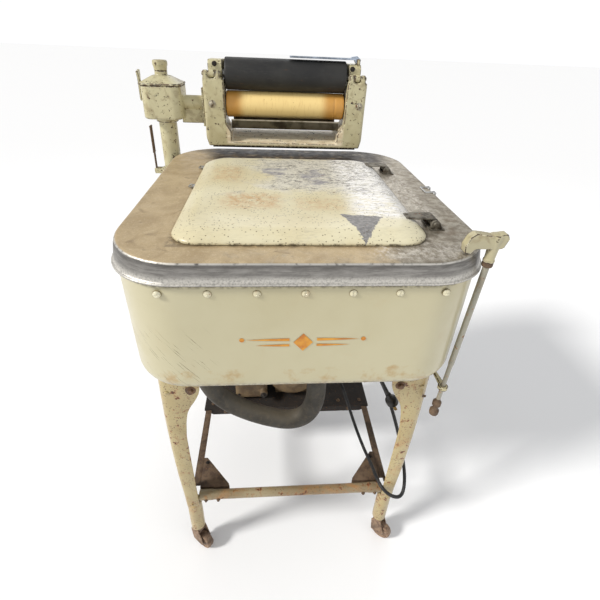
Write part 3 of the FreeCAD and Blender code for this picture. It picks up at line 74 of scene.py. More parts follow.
# ---------------------------------------------------------------- camera, floor and light
CAMERA_PLACE = at(-51.43, -779.31, 1121.48)
PITCH, YAW, ROLL = math.radians(30.874), math.radians(5.234), math.radians(2.533)
FOCAL_PIXELS, PICTURE, SENSOR = 393.44, 600.0, 36.0
SHIFT = (-0.15 / PICTURE, -24.0 / PICTURE)


def set_camera():
    """The camera at the photograph's place, tilt and framing."""
    side = Vector((math.cos(YAW), -math.sin(YAW), 0))
    top = Vector((math.sin(PITCH) * math.sin(YAW), math.sin(PITCH) * math.cos(YAW), math.cos(PITCH)))
    ahead = Vector((math.cos(PITCH) * math.sin(YAW), math.cos(PITCH) * math.cos(YAW), -math.sin(PITCH)))
    right = side * math.cos(ROLL) + top * math.sin(ROLL)
    upward = top * math.cos(ROLL) - side * math.sin(ROLL)
    camera = add_object("camera", bpy.data.cameras.new("camera"))
    facing = Matrix((right, upward, -ahead)).transposed().to_4x4()
    camera.matrix_world = Matrix.Translation(CAMERA_PLACE) @ facing
    camera.data.sensor_width = SENSOR
    camera.data.lens = FOCAL_PIXELS * SENSOR / PICTURE
    camera.data.shift_x, camera.data.shift_y = SHIFT
    camera.data.clip_start = 0.01
    bpy.context.scene.camera = camera


def add_light(name, kind, place, aim, width, power, tint):
    """A soft lamp that faces a point: a square one of a width, or a sun of an angle."""
    lamp = bpy.data.lights.new(name, kind)
    lamp.energy, lamp.color = power, tint
    if kind == "SUN":
        lamp.angle = width
    else:
        lamp.size = width
    thing = add_object(name, lamp)
    thing.location = place
    thing.rotation_mode = "QUATERNION"
    thing.rotation_quaternion = (aim - place).to_track_quat("-Z", "Y")


def set_studio():
    """A white room: even soft light all round, a warm key from the left, and a plain pale floor."""
    world = bpy.data.worlds.new("studio")
    world.use_nodes = True
    nodes, links = world.node_tree.nodes, world.node_tree.links
    nodes["Background"].inputs["Color"].default_value = (0.975, 0.985, 1.0, 1)
    seen = nodes.new("ShaderNodeLightPath")
    strength = nodes.new("ShaderNodeMapRange")
    strength.inputs["To Min"].default_value = 0.52
    strength.inputs["To Max"].default_value = 1.05
    links.new(seen.outputs["Is Camera Ray"], strength.inputs["Value"])
    links.new(strength.outputs[0], nodes["Background"].inputs["Strength"])
    bpy.context.scene.world = world
    bpy.context.scene.view_settings.view_transform = "Standard"
    middle = at(0, 0, 700)
    add_light("key", "SUN", at(-2600, -850, 2750), middle, math.radians(11), 2.8, (1.0, 0.985, 0.955))
    add_light("fill", "AREA", at(1500, -1900, 1700), middle, 2.2, 10, (0.96, 0.98, 1.0))
    add_light("rim", "AREA", at(300, 2200, 2300), middle, 1.8, 12, (1.0, 1.0, 1.0))
    sheet = bmesh.new()
    bmesh.ops.create_grid(sheet, x_segments=1, y_segments=1, size=40)
    floor = solid("floor", sheet)
    pale = bpy.data.materials.new("floor_pale")
    pale.use_nodes = True
    surface = pale.node_tree.nodes["Principled BSDF"].inputs
    surface["Base Color"].default_value = (0.955, 0.955, 0.96, 1)
    surface["Roughness"].default_value = 0.9
    floor.data.materials.append(pale)


# ---------------------------------------------------------------- finishes
def tint(red, green, blue):
    """A colour given as it looks, 0 to 255, turned into the linear values that shaders use."""
    return tuple(((part / 255 + 0.055) / 1.055) ** 2.4 for part in (red, green, blue)) + (1.0,)


class Finish:
    """A material being made. Each pattern method adds nodes and returns the socket with its value."""

    def __init__(self, name, rough=0.5, metal=0.0, clear=0.0):
        self.material = bpy.data.materials.new(name)
        self.material.use_nodes = True
        self.nodes = self.material.node_tree.nodes
        self.links = self.material.node_tree.links
        self.shader = self.nodes["Principled BSDF"]
        self.shader.inputs["Roughness"].default_value = rough
        self.shader.inputs["Metallic"].default_value = metal
        self.shader.inputs["Coat Weight"].default_value = clear
        self.shader.inputs["Coat Roughness"].default_value = 0.12
        self.place = self.put("TexCoord").outputs["Object"]

    def put(self, kind, inputs=None, **settings):
        """A shader node with its settings and its inputs, each a value or a socket."""
        node = self.nodes.new("ShaderNode" + kind)
        for key, value in settings.items():
            setattr(node, key, value)
        for key, value in (inputs or {}).items():
            if isinstance(value, bpy.types.NodeSocket):
                self.links.new(value, node.inputs[key])
            else:
                node.inputs[key].default_value = value
        return node

    def spread(self, size, stretch, shift):
        """The place scaled so that one unit is a size in millimetres, stretched along each axis."""
        scale = [1 / (size * MM * part) for part in stretch]
        return self.put("Mapping", {"Vector": self.place, "Scale": scale, "Location": [shift] * 3}).outputs[0]

    def grain(self, size, detail=4.0, stretch=(1, 1, 1), warp=0.0, rough=0.55, shift=0.0):
        """Noise from 0 to 1 whose features are about so many millimetres across."""
        return self.put("TexNoise", {"Vector": self.spread(size, stretch, shift), "Scale": 1.0,
                                     "Detail": detail, "Roughness": rough,
                                     "Distortion": warp}).outputs["Fac"]

    def pits(self, size, shift=0.0, stretch=(1, 1, 1)):
        """Distance from scattered points, in features' widths."""
        return self.put("TexVoronoi", {"Vector": self.spread(size, stretch, shift), "Scale": 1.0,
                                       "Randomness": 1.0}).outputs["Distance"]

    def step(self, value, low, high):
        """0 at low and 1 at high, smooth between; low above high turns it round."""
        return self.put("MapRange", {"Value": value, "From Min": low, "From Max": high},
                        interpolation_type="SMOOTHSTEP").outputs[0]

    def patch(self, low, high, size, detail=4.0, **settings):
        """A step across noise, which makes patches."""
        return self.step(self.grain(size, detail, **settings), low, high)

    def math(self, kind, first, second):
        """Arithmetic on two values, held between 0 and 1."""
        return self.put("Math", {0: first, 1: second}, operation=kind, use_clamp=True).outputs[0]

    def both(self, first, *others):
        """The product of masks and shares."""
        for other in others:
            first = self.math("MULTIPLY", first, other)
        return first

    def most(self, first, second):
        return self.math("MAXIMUM", first, second)

    def add(self, first, second):
        return self.math("ADD", first, second)

    def take(self, first, second):
        return self.math("SUBTRACT", first, second)

    def along(self, letter):
        """The place along an axis, in metres."""
        return self.put("SeparateXYZ", {0: self.place}).outputs[letter]

    def between(self, letter, low, high, soft):
        """1 inside a stretch of an axis given in millimetres from the tub's middle line, soft at its ends."""
        offset = MIDDLE["XYZ".index(letter)]
        low, high, soft = (offset + low * MM, offset + high * MM, soft * MM)
        place = self.along(letter)
        return self.both(self.step(place, low - soft, low), self.step(place, high + soft, high))

    def slope(self, start, end):
        """Distance to the left of a line between two (x, y) points, in millimetres, as a socket."""
        run = Vector((end[0] - start[0], end[1] - start[1])).normalized()
        place = self.put("VectorMath", {0: self.place, 1: at(*start, 0)}, operation="SUBTRACT").outputs[0]
        return self.put("VectorMath", {0: place, 1: (-run.y / MM, run.x / MM, 0)},
                        operation="DOT_PRODUCT").outputs["Value"]

    def triangle(self, corners, rough):
        """1 inside a triangle seen from above, with a ragged edge; corners run clockwise."""
        ragged = self.value_mix(self.grain(9, 7, rough=0.72, shift=2.5), -rough, rough)
        inside = None
        for start, end in zip(corners, corners[1:] + corners[:1]):
            far = self.put("Math", {0: self.slope(end, start), 1: ragged}, operation="ADD").outputs[0]
            part = self.step(far, 0.0, 1.0)
            inside = part if inside is None else self.both(inside, part)
        return inside

    def areas(self, *spots):
        """The strongest of soft rectangles, each given by its x stretch, its y stretch and a share."""
        whole = 0.0
        for across, deep, share in spots:
            whole = self.most(whole, self.both(self.between("X", *across), self.between("Y", *deep), share))
        return whole

    def marks(self):
        """Thin scratches that run slantwise down a wall, in loose groups."""
        turned = self.put("VectorRotate", {"Vector": self.place, "Angle": math.radians(-52)},
                          rotation_type="Y_AXIS").outputs[0]
        scale = [1 / (MM * part) for part in (64, 64, 1.7)]
        line = self.put("TexNoise",
                        {"Vector": self.put("Mapping", {"Vector": turned, "Scale": scale}).outputs[0],
                         "Scale": 1.0, "Detail": 3.0, "Roughness": 0.5}).outputs["Fac"]
        return self.both(self.step(line, 0.62, 0.65), self.patch(0.42, 0.54, 52, 4, shift=5.5))

    def edges(self, low, high):
        """1 on the convex edges of a dense mesh, or in its hollows when low is above high."""
        return self.step(self.put("NewGeometry").outputs["Pointiness"], low, high)

    def mix(self, mask, under, over):
        """A colour between two, each given as it looks or as a socket."""
        node = self.put("Mix", {"Factor": mask}, data_type="RGBA")
        for index, value in ((6, under), (7, over)):
            if isinstance(value, bpy.types.NodeSocket):
                self.links.new(value, node.inputs[index])
            else:
                node.inputs[index].default_value = tint(*value)
        return node.outputs[2]

    def value_mix(self, mask, under, over, low=0.0, high=1.0):
        """A mask between two levels, carried to run from one value to another."""
        return self.put("MapRange", {"Value": mask, "From Min": low, "From Max": high, "To Min": under,
                                     "To Max": over}).outputs[0]

    def start(self, mask, first, second):
        """The ground colour, in two tones."""
        self.colour = self.mix(mask, first, second)

    def lay(self, mask, over, share=None):
        """A colour laid over the rest where a mask says so."""
        self.colour = self.mix(mask if share is None else self.both(mask, share), self.colour, over)

    def relief(self, value, strength, depth):
        """Height of a pattern, its depth in millimetres, laid over what is there already."""
        bump = self.put("Bump", {"Height": value, "Strength": strength, "Distance": depth * MM})
        if self.shader.inputs["Normal"].links:
            self.links.new(self.shader.inputs["Normal"].links[0].from_socket, bump.inputs["Normal"])
        self.links.new(bump.outputs[0], self.shader.inputs["Normal"])

    def done(self, rough=None, metal=None):
        """The material, with its colour and the sockets given joined to its shader."""
        for name, value in (("Base Color", self.colour), ("Roughness", rough), ("Metallic", metal)):
            if value is not None:
                self.links.new(value, self.shader.inputs[name])
        return self.material


RUST = (122, 72, 36)
RUST_LIGHT = (178, 120, 62)
DARK_RUST = (66, 40, 26)
SOOT = (38, 33, 28)
STAIN = (150, 122, 80)


def enamel(name, coat, deep, chips=0.7, stains=0.6, specks=0.71, scratches=0.0, freckles=0.0):
    """Aged enamel: slow yellowing, fine specks, brown stains, and chips with rusty surrounds."""
    f = Finish(name, rough=0.33, clear=0.25)
    f.start(f.patch(0.36, 0.64, 190, 3), coat, deep)
    f.lay(f.both(f.patch(0.45, 0.75, 28, 6, warp=0.6), stains * 0.4), STAIN)
    f.lay(f.both(f.patch(0.54, 0.74, 75, 8, warp=1.2, shift=3.0), stains), RUST_LIGHT)
    speck = f.patch(specks, specks + 0.05, 3.2, 5, rough=0.7)
    patch = f.patch(0.42, 0.6, 60, 4, shift=7.0)
    speck = f.both(speck, patch)
    chip_noise = f.grain(17, 9, rough=0.62, shift=1.7)
    chip = f.step(chip_noise, chips, chips + 0.012)
    halo = f.both(f.step(chip_noise, chips - 0.05, chips + 0.01), 0.6)
    f.lay(halo, RUST_LIGHT)
    if freckles:
        dots = f.both(f.step(f.pits(4.6, shift=2.0), 0.3, 0.18), f.patch(0.4, 0.54, 30, 6, shift=9.0))
        f.lay(f.both(dots, freckles), (104, 76, 44))
        streak = f.patch(0.56, 0.68, 13, 8, stretch=(0.7, 0.7, 3.4), rough=0.7, shift=4.4)
        f.lay(f.both(streak, freckles * 0.8), (150, 104, 52))
    f.lay(speck, RUST)
    f.lay(chip, f.mix(f.patch(0.4, 0.6, 5, 4), DARK_RUST, RUST))
    if scratches:
        scuffed = f.both(f.between("X", -240, -165, 45), f.between("Z", 650, 725, 35))
        rubbed = f.both(f.marks(), f.both(scuffed, scratches))
        f.lay(rubbed, (88, 78, 56))
        corner = f.both(f.between("Z", 622, 668, 26), f.grain(38, 7, rough=0.66, shift=6.0))
        f.lay(f.step(corner, 0.5, 0.72), (176, 150, 104))
        foot = f.both(f.between("Z", 600, 631, 12), f.patch(0.42, 0.6, 7, 7, rough=0.7))
        f.lay(foot, (98, 80, 54), 0.8)
        # Painted shade with some dirt: a dark blotchy band on the casing just under the rim's band.
        shade_and_dirt_under_band = f.both(f.between("Z", 827, 850, 6), f.patch(0.36, 0.62, 8, 7, shift=2.0))
        f.lay(shade_and_dirt_under_band, (84, 74, 56), 0.75)
    f.relief(f.grain(1.6, 3), 0.08, 0.2)
    f.relief(f.take(1.0, f.most(chip, speck)), 0.5, 0.5)
    gloss = f.value_mix(f.most(chip, f.patch(0.4, 0.8, 36, 5)), 0.28, 0.58)
    return f.done(gloss)


CREAM = (192, 184, 151)
CREAM_DEEP = (186, 177, 142)
CREAM_LEG = (186, 169, 122)
CREAM_CAST = (199, 191, 153)


def lid_enamel():
    """The lid's paint: cream at its edges, scoured grey and white in the middle, chipped in front."""
    f = Finish("lid_enamel", rough=0.4, clear=0.1)
    f.start(f.patch(0.35, 0.65, 120, 4), (222, 214, 182), (214, 203, 166))
    cloud = f.value_mix(f.grain(70, 8, rough=0.66, warp=0.5, shift=2.0), -0.45, 0.45, 0.3, 0.7)
    middle = f.areas(((10, 130, 165), (-10, 80, 150), 1))
    scoured = f.step(f.put("Math", {0: middle, 1: cloud}, operation="ADD").outputs[0], 0.18, 0.8)
    f.lay(scoured, (210, 206, 196), 0.72)
    right = f.areas(((112, 190, 46), (-185, 150, 30), 1))
    worn = f.patch(0.42, 0.58, 5.5, 9, stretch=(2.6, 1, 1), rough=0.72, shift=6.0)
    white = f.both(right, f.add(worn, 0.35))
    f.lay(white, (243, 240, 236))
    fleck = f.patch(0.5, 0.58, 4.2, 8, stretch=(2.6, 0.9, 1), rough=0.74, shift=4.0)
    density = f.add(f.both(scoured, 0.9), f.add(f.both(right, 0.35), 0.1))
    fleck = f.both(fleck, f.both(density, f.patch(0.28, 0.56, 30, 6, shift=1.0)))
    f.lay(fleck, (106, 101, 96))
    smudge = f.areas(((-48, -34, 52), (24, 48, 62), 1), ((34, 48, 54), (-24, 40, 62), 1),
                     ((118, 124, 28), (-84, -74, 30), 1))
    ragged = f.value_mix(f.grain(17, 9, stretch=(2.0, 1, 1), rough=0.72, shift=9.0), 0.0, 0.62, 0.3, 0.7)
    smudge = f.step(f.add(f.both(smudge, 0.42), ragged), 0.58, 0.8)
    smudge = f.both(smudge, f.step(middle, 0.15, 0.5))
    f.lay(smudge, f.mix(f.patch(0.4, 0.6, 7, 6), (128, 126, 132), (164, 160, 160)), 0.85)
    tan = f.areas(((-112, -52, 34), (-152, -112, 30), 1), ((-150, -120, 28), (0, 50, 44), 0.7),
                  ((10, 60, 30), (-160, -130, 22), 0.6))
    tan = f.both(tan, f.patch(0.36, 0.62, 11, 8, rough=0.7, shift=9.0))
    f.lay(tan, (192, 146, 92), 0.7)
    peeled = f.triangle(((62, -189), (131, -198), (90, -274)), 9.0)
    f.lay(peeled, f.mix(f.patch(0.4, 0.6, 5, 6), (146, 143, 140), (122, 120, 119)))
    pit = f.step(f.pits(5.4, shift=3.0), 0.24, 0.15)
    pit = f.both(pit, f.patch(0.38, 0.5, 34, 5, shift=5.0))
    f.lay(pit, (98, 84, 62), 0.8)
    chip_noise = f.grain(12, 9, rough=0.66, shift=8.0)
    chip = f.step(chip_noise, 0.685, 0.695)
    f.lay(f.step(chip_noise, 0.65, 0.685), RUST_LIGHT, 0.45)
    f.lay(chip, (104, 90, 74))
    brink = f.both(f.between("Z", 860, 868.2, 1.6), f.patch(0.46, 0.6, 8, 7, rough=0.7))
    f.lay(brink, (90, 78, 60), 0.8)
    f.relief(f.grain(2.2, 4), 0.12, 0.3)
    f.relief(f.take(1.0, f.most(chip, f.most(pit, peeled))), 0.5, 0.4)
    return f.done(f.value_mix(f.most(scoured, peeled), 0.34, 0.6))


def deck_metal():
    """Aluminium rim: stained tan on the deck, blotched silver to the right, brushed grey on the band."""
    f = Finish("deck_aluminium", rough=0.45, metal=0.55)
    height = f.along("Z")
    on_deck = f.step(height, 0.8632, 0.8647)
    brushed = f.patch(0.34, 0.68, 7, 8, rough=0.72, stretch=(4, 4, 0.5))
    band = f.mix(brushed, (116, 113, 109), (150, 147, 142))
    band = f.mix(f.step(height, 0.8535, 0.8595), band, f.mix(brushed, (92, 89, 85), (124, 121, 117)))
    foot = f.both(f.step(height, 0.8475, 0.8365), f.patch(0.22, 0.6, 3, 7, rough=0.7))
    band = f.mix(foot, band, (206, 202, 194))
    # Painted highlight: a thin, blotchy bright line along the top of the rolled edge.
    crest = f.both(f.step(height, 0.8608, 0.8628), f.patch(0.28, 0.52, 9, 6))
    band = f.mix(crest, band, (198, 194, 186))
    # Painted shade: a dark line along the underside of the bead at the foot of the band.
    lip = f.both(f.step(height, 0.8325, 0.8308), f.patch(0.3, 0.5, 6, 6))
    band = f.mix(lip, band, (66, 60, 52))
    fine = f.patch(0.36, 0.64, 2.2, 7, rough=0.75)
    tan = f.mix(f.patch(0.36, 0.66, 48, 8, warp=0.8, rough=0.66), (194, 173, 136), (170, 148, 112))
    tan = f.mix(f.both(fine, 0.35), tan, (140, 120, 92))
    tan = f.mix(f.both(f.patch(0.54, 0.66, 5, 8, rough=0.75, shift=2.0), 0.5), tan, (212, 196, 164))
    silver = f.mix(f.patch(0.38, 0.64, 15, 9, rough=0.72), (144, 134, 118), (194, 186, 170))
    silver = f.mix(f.both(fine, 0.38), silver, (104, 94, 80))
    right = f.step(f.along("X"), MIDDLE.x + 0.06, MIDDLE.x + 0.23)
    front = f.step(f.along("Y"), MIDDLE.y - 0.24, MIDDLE.y - 0.3)
    bare = f.add(f.both(right, 0.6), f.both(front, 0.22))
    bare = f.step(f.add(bare, f.both(f.grain(42, 8, warp=0.9, rough=0.68, shift=2.0), 0.75)), 0.58, 0.86)
    deck = f.mix(bare, tan, silver)
    chalk = f.areas(((186, 236, 16), (-150, 190, 40), 1), ((120, 262, 40), (-300, -262, 14), 1))
    flake = f.both(f.patch(0.44, 0.66, 5.5, 9, rough=0.78, stretch=(1, 1.5, 1), shift=5.0), chalk)
    deck = f.mix(f.both(flake, 0.8), deck, (222, 215, 204))
    dirt = f.both(f.patch(0.58, 0.72, 30, 8, warp=1.0, shift=8.0), 0.5)
    deck = f.mix(dirt, deck, (118, 98, 74))
    # Painted shade: the deck behind the lid is darkened where it lies under the wringer.
    rear = f.both(f.between("Y", 214, 330, 34), f.between("X", -170, 210, 60))
    rear = f.both(rear, f.patch(0.2, 0.52, 24, 6, shift=3.0))
    deck = f.mix(f.both(rear, 0.93), deck, (44, 36, 30))
    # Painted shadow: the deck darkened in a soft ring just outside the lid's edge.
    painted_lid_shadow = f.both(f.areas(((-197, 193, 7), (-268, 178, 7), 1)), f.patch(0.32, 0.56, 10, 6, shift=6.0), 0.6)
    deck = f.mix(painted_lid_shadow, deck, (92, 78, 58))
    f.start(on_deck, band, deck)
    f.relief(f.grain(2.4, 6, rough=0.7), 0.2, 0.3)
    f.relief(f.grain(60, 3), 0.25, 1.0)
    shine = f.value_mix(f.both(on_deck, f.take(1.0, bare)), 0.68, 0.05)
    gloss = f.value_mix(f.patch(0.3, 0.7, 18, 6, shift=3.0), 0.36, 0.56)
    return f.done(gloss, shine)


def cast_paint(name, coat=CREAM_CAST, chips=0.605, trough=False):
    """Painted casting: cream with pits, dark chips on its edges, painted shade in its hollows and a painted
    highlight on its convex edges.
    """
    f = Finish(name, rough=0.38, clear=0.15)
    f.start(f.patch(0.36, 0.66, 70, 4), coat, (184, 174, 134))
    f.lay(f.both(f.patch(0.5, 0.72, 20, 7, warp=0.8), 0.5), (128, 106, 74))
    if trough:
        wet = f.both(f.between("Z", 898, 934, 7), f.between("X", -150, 130, 8))
        wet = f.both(wet, f.patch(0.24, 0.5, 16, 7, rough=0.7, stretch=(3, 1, 1)))
        f.lay(wet, f.mix(f.patch(0.4, 0.6, 7, 6, stretch=(3, 1, 1)), (216, 196, 162), (236, 222, 192)), 0.9)
    # Painted shade: the hollows of the dense casting are darkened.
    hollow_shade = f.both(f.edges(0.487, 0.45), 0.5 if trough else 0.85)
    f.lay(hollow_shade, (70, 58, 44))
    chip_noise = f.grain(8, 9, rough=0.68, shift=4.0)
    worn = f.both(f.edges(0.508, 0.535), f.patch(0.42, 0.5, 7, 7, rough=0.7, shift=6.0))
    chip = f.most(f.step(chip_noise, chips, chips + 0.012), worn)
    # Painted highlight: the convex edges are lightened to a pale cream.
    pale = f.both(f.edges(0.508, 0.55), f.patch(0.38, 0.52, 11, 5, shift=2.0))
    f.lay(pale, (226, 220, 194), 0.75)
    f.lay(chip, f.mix(f.patch(0.42, 0.6, 4, 4), (46, 38, 30), (96, 68, 44)))
    f.relief(f.grain(2.0, 5, rough=0.7), 0.26, 0.35)
    f.relief(f.take(1.0, chip), 0.6, 0.5)
    return f.done(f.value_mix(chip, 0.38, 0.72))


def rusty(name, base, patch, rough=0.75, metal=0.0, size=14):
    """Rough brown steel or iron, in two tones, with pits."""
    f = Finish(name, rough=rough, metal=metal)
    f.start(f.patch(0.38, 0.66, size, 8, rough=0.66), base, patch)
    f.lay(f.patch(0.48, 0.7, 60, 5, shift=3.0), SOOT, 0.6)
    f.lay(f.patch(0.6, 0.68, 4, 6, rough=0.75, shift=1.0), RUST_LIGHT, 0.7)
    f.relief(f.grain(2.5, 6, rough=0.75), 0.45, 0.5)
    return f.done(f.value_mix(f.grain(9, 5), rough - 0.15, rough + 0.12))


def plated(name, bright, dull, rough=0.3, metal=0.95, size=22, rust=0.68):
    """Plated steel, dulled in clouds and spotted with rust."""
    f = Finish(name, rough=rough, metal=metal)
    f.start(f.patch(0.4, 0.66, size, 7, rough=0.62), bright, dull)
    spot_noise = f.grain(7, 8, rough=0.68, shift=5.0)
    spot = f.step(spot_noise, rust, rust + 0.03)
    f.lay(f.step(spot_noise, rust - 0.05, rust), (112, 96, 76))
    f.lay(spot, RUST)
    f.relief(f.grain(1.8, 5, rough=0.7), 0.18, 0.2)
    gloss = f.value_mix(f.most(spot, f.grain(13, 5)), rough - 0.08, rough + 0.3)
    return f.done(gloss, f.value_mix(spot, metal, 0.1))


def black_rubber():
    """Upper roll: worn black rubber, chalky streaks round it and faint brown marks."""
    f = Finish("black_rubber", rough=0.55)
    f.start(f.patch(0.35, 0.68, 60, 5), (27, 27, 27), (42, 41, 39))
    f.lay(f.patch(0.52, 0.72, 6, 8, stretch=(5, 1, 1), rough=0.7), (66, 64, 60), 0.4)
    brown = f.patch(0.64, 0.72, 9, 7, stretch=(4, 1, 1), shift=3.0)
    f.lay(brown, (96, 62, 34), 0.35)
    f.relief(f.grain(3, 6, stretch=(3, 1, 1), rough=0.7), 0.25, 0.3)
    return f.done(f.value_mix(f.grain(20, 5), 0.42, 0.72))


def amber_rubber():
    """Lower roll: aged rubber, darker orange at both ends and paler in the middle."""
    f = Finish("amber_rubber", rough=0.45, clear=0.1)
    middle = f.between("X", -96, 62, 46)
    ripple = f.grain(26, 5, stretch=(1, 6, 6))
    middle = f.step(f.add(middle, f.both(f.take(ripple, 0.5), 0.8)), 0.1, 1.0)
    f.start(middle, (206, 152, 74), (246, 216, 146))
    f.lay(f.patch(0.5, 0.75, 4, 6, stretch=(1, 7, 7), rough=0.7), (190, 136, 66), 0.35)
    spots = f.both(f.patch(0.62, 0.7, 7, 7, rough=0.7, shift=6.0), 0.5)
    f.lay(spots, (150, 96, 44))
    f.relief(f.grain(5, 5, stretch=(1, 6, 6), rough=0.7), 0.12, 0.2)
    return f.done()


def hose_rubber():
    """Old grey-brown hose rubber, lighter on its upward faces."""
    f = Finish("hose_rubber", rough=0.6)
    f.start(f.patch(0.35, 0.66, 50, 6), (68, 64, 56), (52, 48, 41))
    f.lay(f.patch(0.45, 0.7, 11, 8, rough=0.7), (98, 86, 68), 0.5)
    up = f.put("SeparateXYZ", {0: f.put("NewGeometry").outputs["Normal"]}).outputs["Z"]
    f.lay(f.step(up, 0.2, 0.9), (118, 108, 90), 0.4)
    f.relief(f.grain(2.5, 6, rough=0.7), 0.3, 0.4)
    return f.done(f.value_mix(f.grain(15, 5), 0.48, 0.78))


def plain_rubber(name, dark, light, rough=0.5):
    """Small black rubber or moulded parts, slightly dusty."""
    f = Finish(name, rough=rough)
    f.start(f.patch(0.4, 0.7, 12, 6, rough=0.65), dark, light)
    f.relief(f.grain(1.2, 4), 0.2, 0.15)
    return f.done(f.value_mix(f.grain(8, 4), rough - 0.1, rough + 0.2))


def gilt():
    """Old gold transfer, orange in places and rubbed through to the cream."""
    f = Finish("gilt_transfer", rough=0.42)
    f.start(f.patch(0.38, 0.64, 20, 6), (214, 150, 48), (188, 112, 28))
    rubbed = f.patch(0.6, 0.68, 5, 8, rough=0.72)
    f.lay(rubbed, CREAM, 0.8)
    f.relief(f.grain(2, 4), 0.1, 0.1)
    return f.done()


FINISH = {}


def make_finishes():
    """Every material by name."""
    FINISH.update({
        "casing": enamel("casing_enamel", CREAM, CREAM_DEEP, chips=0.745, stains=0.07, specks=0.77,
                         scratches=0.75),
        "leg": enamel("leg_enamel", CREAM_LEG, (172, 153, 106), chips=0.62, stains=0.5, specks=0.58,
                      freckles=1.0),
        "bar": enamel("bar_enamel", (160, 146, 114), (128, 110, 80), chips=0.62, stains=0.5,
                      specks=0.58, freckles=0.9),
        "painted_screw": enamel("screw_enamel", (222, 216, 188), (206, 198, 166), chips=0.66,
                                stains=0.3, specks=0.66),
        "worn_strap": plated("worn_strap", (134, 128, 116), (74, 67, 56), rough=0.45, metal=0.6,
                             rust=0.62, size=12),
        # Darker rings round the band screws: painted shade with some dirt.
        "ring_shade_and_dirt": rusty("ring_shade_and_dirt", (158, 144, 108), (120, 104, 74), size=8),
        "lid": lid_enamel(),
        "deck": deck_metal(),
        "cast": cast_paint("cast_enamel"),
        "trough": cast_paint("trough_enamel", trough=True),
        "board": plated("board_steel", (104, 98, 84), (62, 56, 46), rough=0.42, size=30, rust=0.7),
        "board_lip": plated("board_lip_steel", (196, 190, 174), (150, 142, 124), rough=0.34, size=20),
        "handle": cast_paint("handle_enamel", coat=(172, 164, 134), chips=0.655),
        "rod": enamel("rod_enamel", (158, 154, 138), (134, 128, 112), chips=0.64, stains=0.25,
                      specks=0.62),
        "rust": rusty("rusty_steel", (104, 84, 64), (74, 56, 42)),
        "dark_rust": rusty("dark_rusty_plate", (34, 26, 19), (22, 17, 13), size=30),
        "caster": rusty("caster_iron", (150, 124, 100), (96, 72, 56), rough=0.62, size=8),
        "grimed": rusty("grimed_casting", (122, 102, 74), (86, 68, 48), rough=0.62, size=40),
        "plated": plated("plated_steel", (206, 206, 204), (150, 150, 150)),
        "blue_steel": plated("blued_steel", (172, 182, 196), (118, 126, 138), rough=0.28, rust=0.74),
        "rusty_bolt": rusty("rusty_bolt", (120, 88, 60), (82, 56, 38), rough=0.6, size=6),
        "screw": plated("screw_steel", (188, 180, 160), (116, 106, 90), rough=0.38, size=6,
                        rust=0.62),
        "alloy": plated("cast_alloy", (178, 177, 174), (132, 131, 128), rough=0.42, metal=0.8,
                        rust=0.8),
        "black_rubber": black_rubber(),
        "amber_rubber": amber_rubber(),
        "hose": hose_rubber(),
        "cord": plain_rubber("cord_rubber", (22, 22, 23), (46, 44, 42)),
        "plug": plain_rubber("plug_moulding", (30, 27, 25), (58, 52, 46), rough=0.42),
        "belt": plain_rubber("belt_fabric", (40, 36, 32), (74, 66, 56), rough=0.75),
        "brass": plated("plug_brass", (206, 178, 118), (158, 128, 74), rust=0.8),
        "gilt": gilt(),
    })


# ---------------------------------------------------------------- mesh helpers
def show(name, mesh, finish, body="washer", stands_for=(), sharp=40):
    """Turn a bmesh into a shaded piece that rides on a body and stands for CAD nodes."""
    bmesh.ops.recalc_face_normals(mesh, faces=mesh.faces)
    thing = solid(name, mesh)
    thing.data.shade_smooth()
    thing.data.set_sharp_from_angle(angle=math.radians(sharp))
    thing.data.materials.append(FINISH[finish])
    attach(thing, body)
    if stands_for:
        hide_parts(*stands_for)
    return thing


def outline(width, depth, corner, centre=(0, 0), bend=12, side=14):
    """Points round a rectangle with rounded corners: an arc at each corner, then the side after it."""
    points = []
    for quarter, (sign_x, sign_y) in enumerate(((1, 1), (-1, 1), (-1, -1), (1, -1))):
        middle_x = centre[0] + sign_x * (width / 2 - corner)
        middle_y = centre[1] + sign_y * (depth / 2 - corner)
        for step in range(bend + 1):
            angle = (quarter + step / bend) * math.pi / 2
            points.append((middle_x + corner * math.cos(angle), middle_y + corner * math.sin(angle)))
        run = ((-1, 0), (0, -1), (1, 0), (0, 1))[quarter]
        length = (width if run[0] else depth) - 2 * corner
        last = points[-1]
        for step in range(1, side + 1):
            share = length * step / (side + 1)
            points.append((last[0] + run[0] * share, last[1] + run[1] * share))
    return points


def between_rings(first, second, share):
    """A ring part of the way from one to another."""
    return [(a[0] + (b[0] - a[0]) * share, a[1] + (b[1] - a[1]) * share) for a, b in zip(first, second)]


def bridge(mesh, rows):
    """Quads between neighbouring rows of vertices, each row a closed ring."""
    for low, high in zip(rows, rows[1:]):
        for index in range(len(low)):
            follower = (index + 1) % len(low)
            mesh.faces.new((low[index], low[follower], high[follower], high[index]))


def round_edges(mesh, edges, width):
    """Edges rounded over a width in millimetres."""
    bmesh.ops.bevel(mesh, geom=edges, offset=width * MM, segments=2, profile=0.5, affect="EDGES",
                    clamp_overlap=True)


def skin(mesh, rings, closed=False, ripple=0.0):
    """Join rings of (x, y, z) points with quads; ripple moves them by a smooth noise, in millimetres."""
    rows = [[mesh.verts.new(at(x, y, z + noise.noise(Vector((x, y, z)) / 55.0) * ripple)) for x, y, z in ring]
            for ring in rings]
    bridge(mesh, rows + rows[:1] if closed else rows)
    return rows


def level(points, z):
    """An outline at a height."""
    return [(x, y, z) for x, y in points]


AXIS = {"X": Matrix(((0, 0, 1), (1, 0, 0), (0, 1, 0))), "Y": Matrix(((0, 1, 0), (0, 0, 1), (1, 0, 0))),
        "Z": Matrix.Identity(3)}


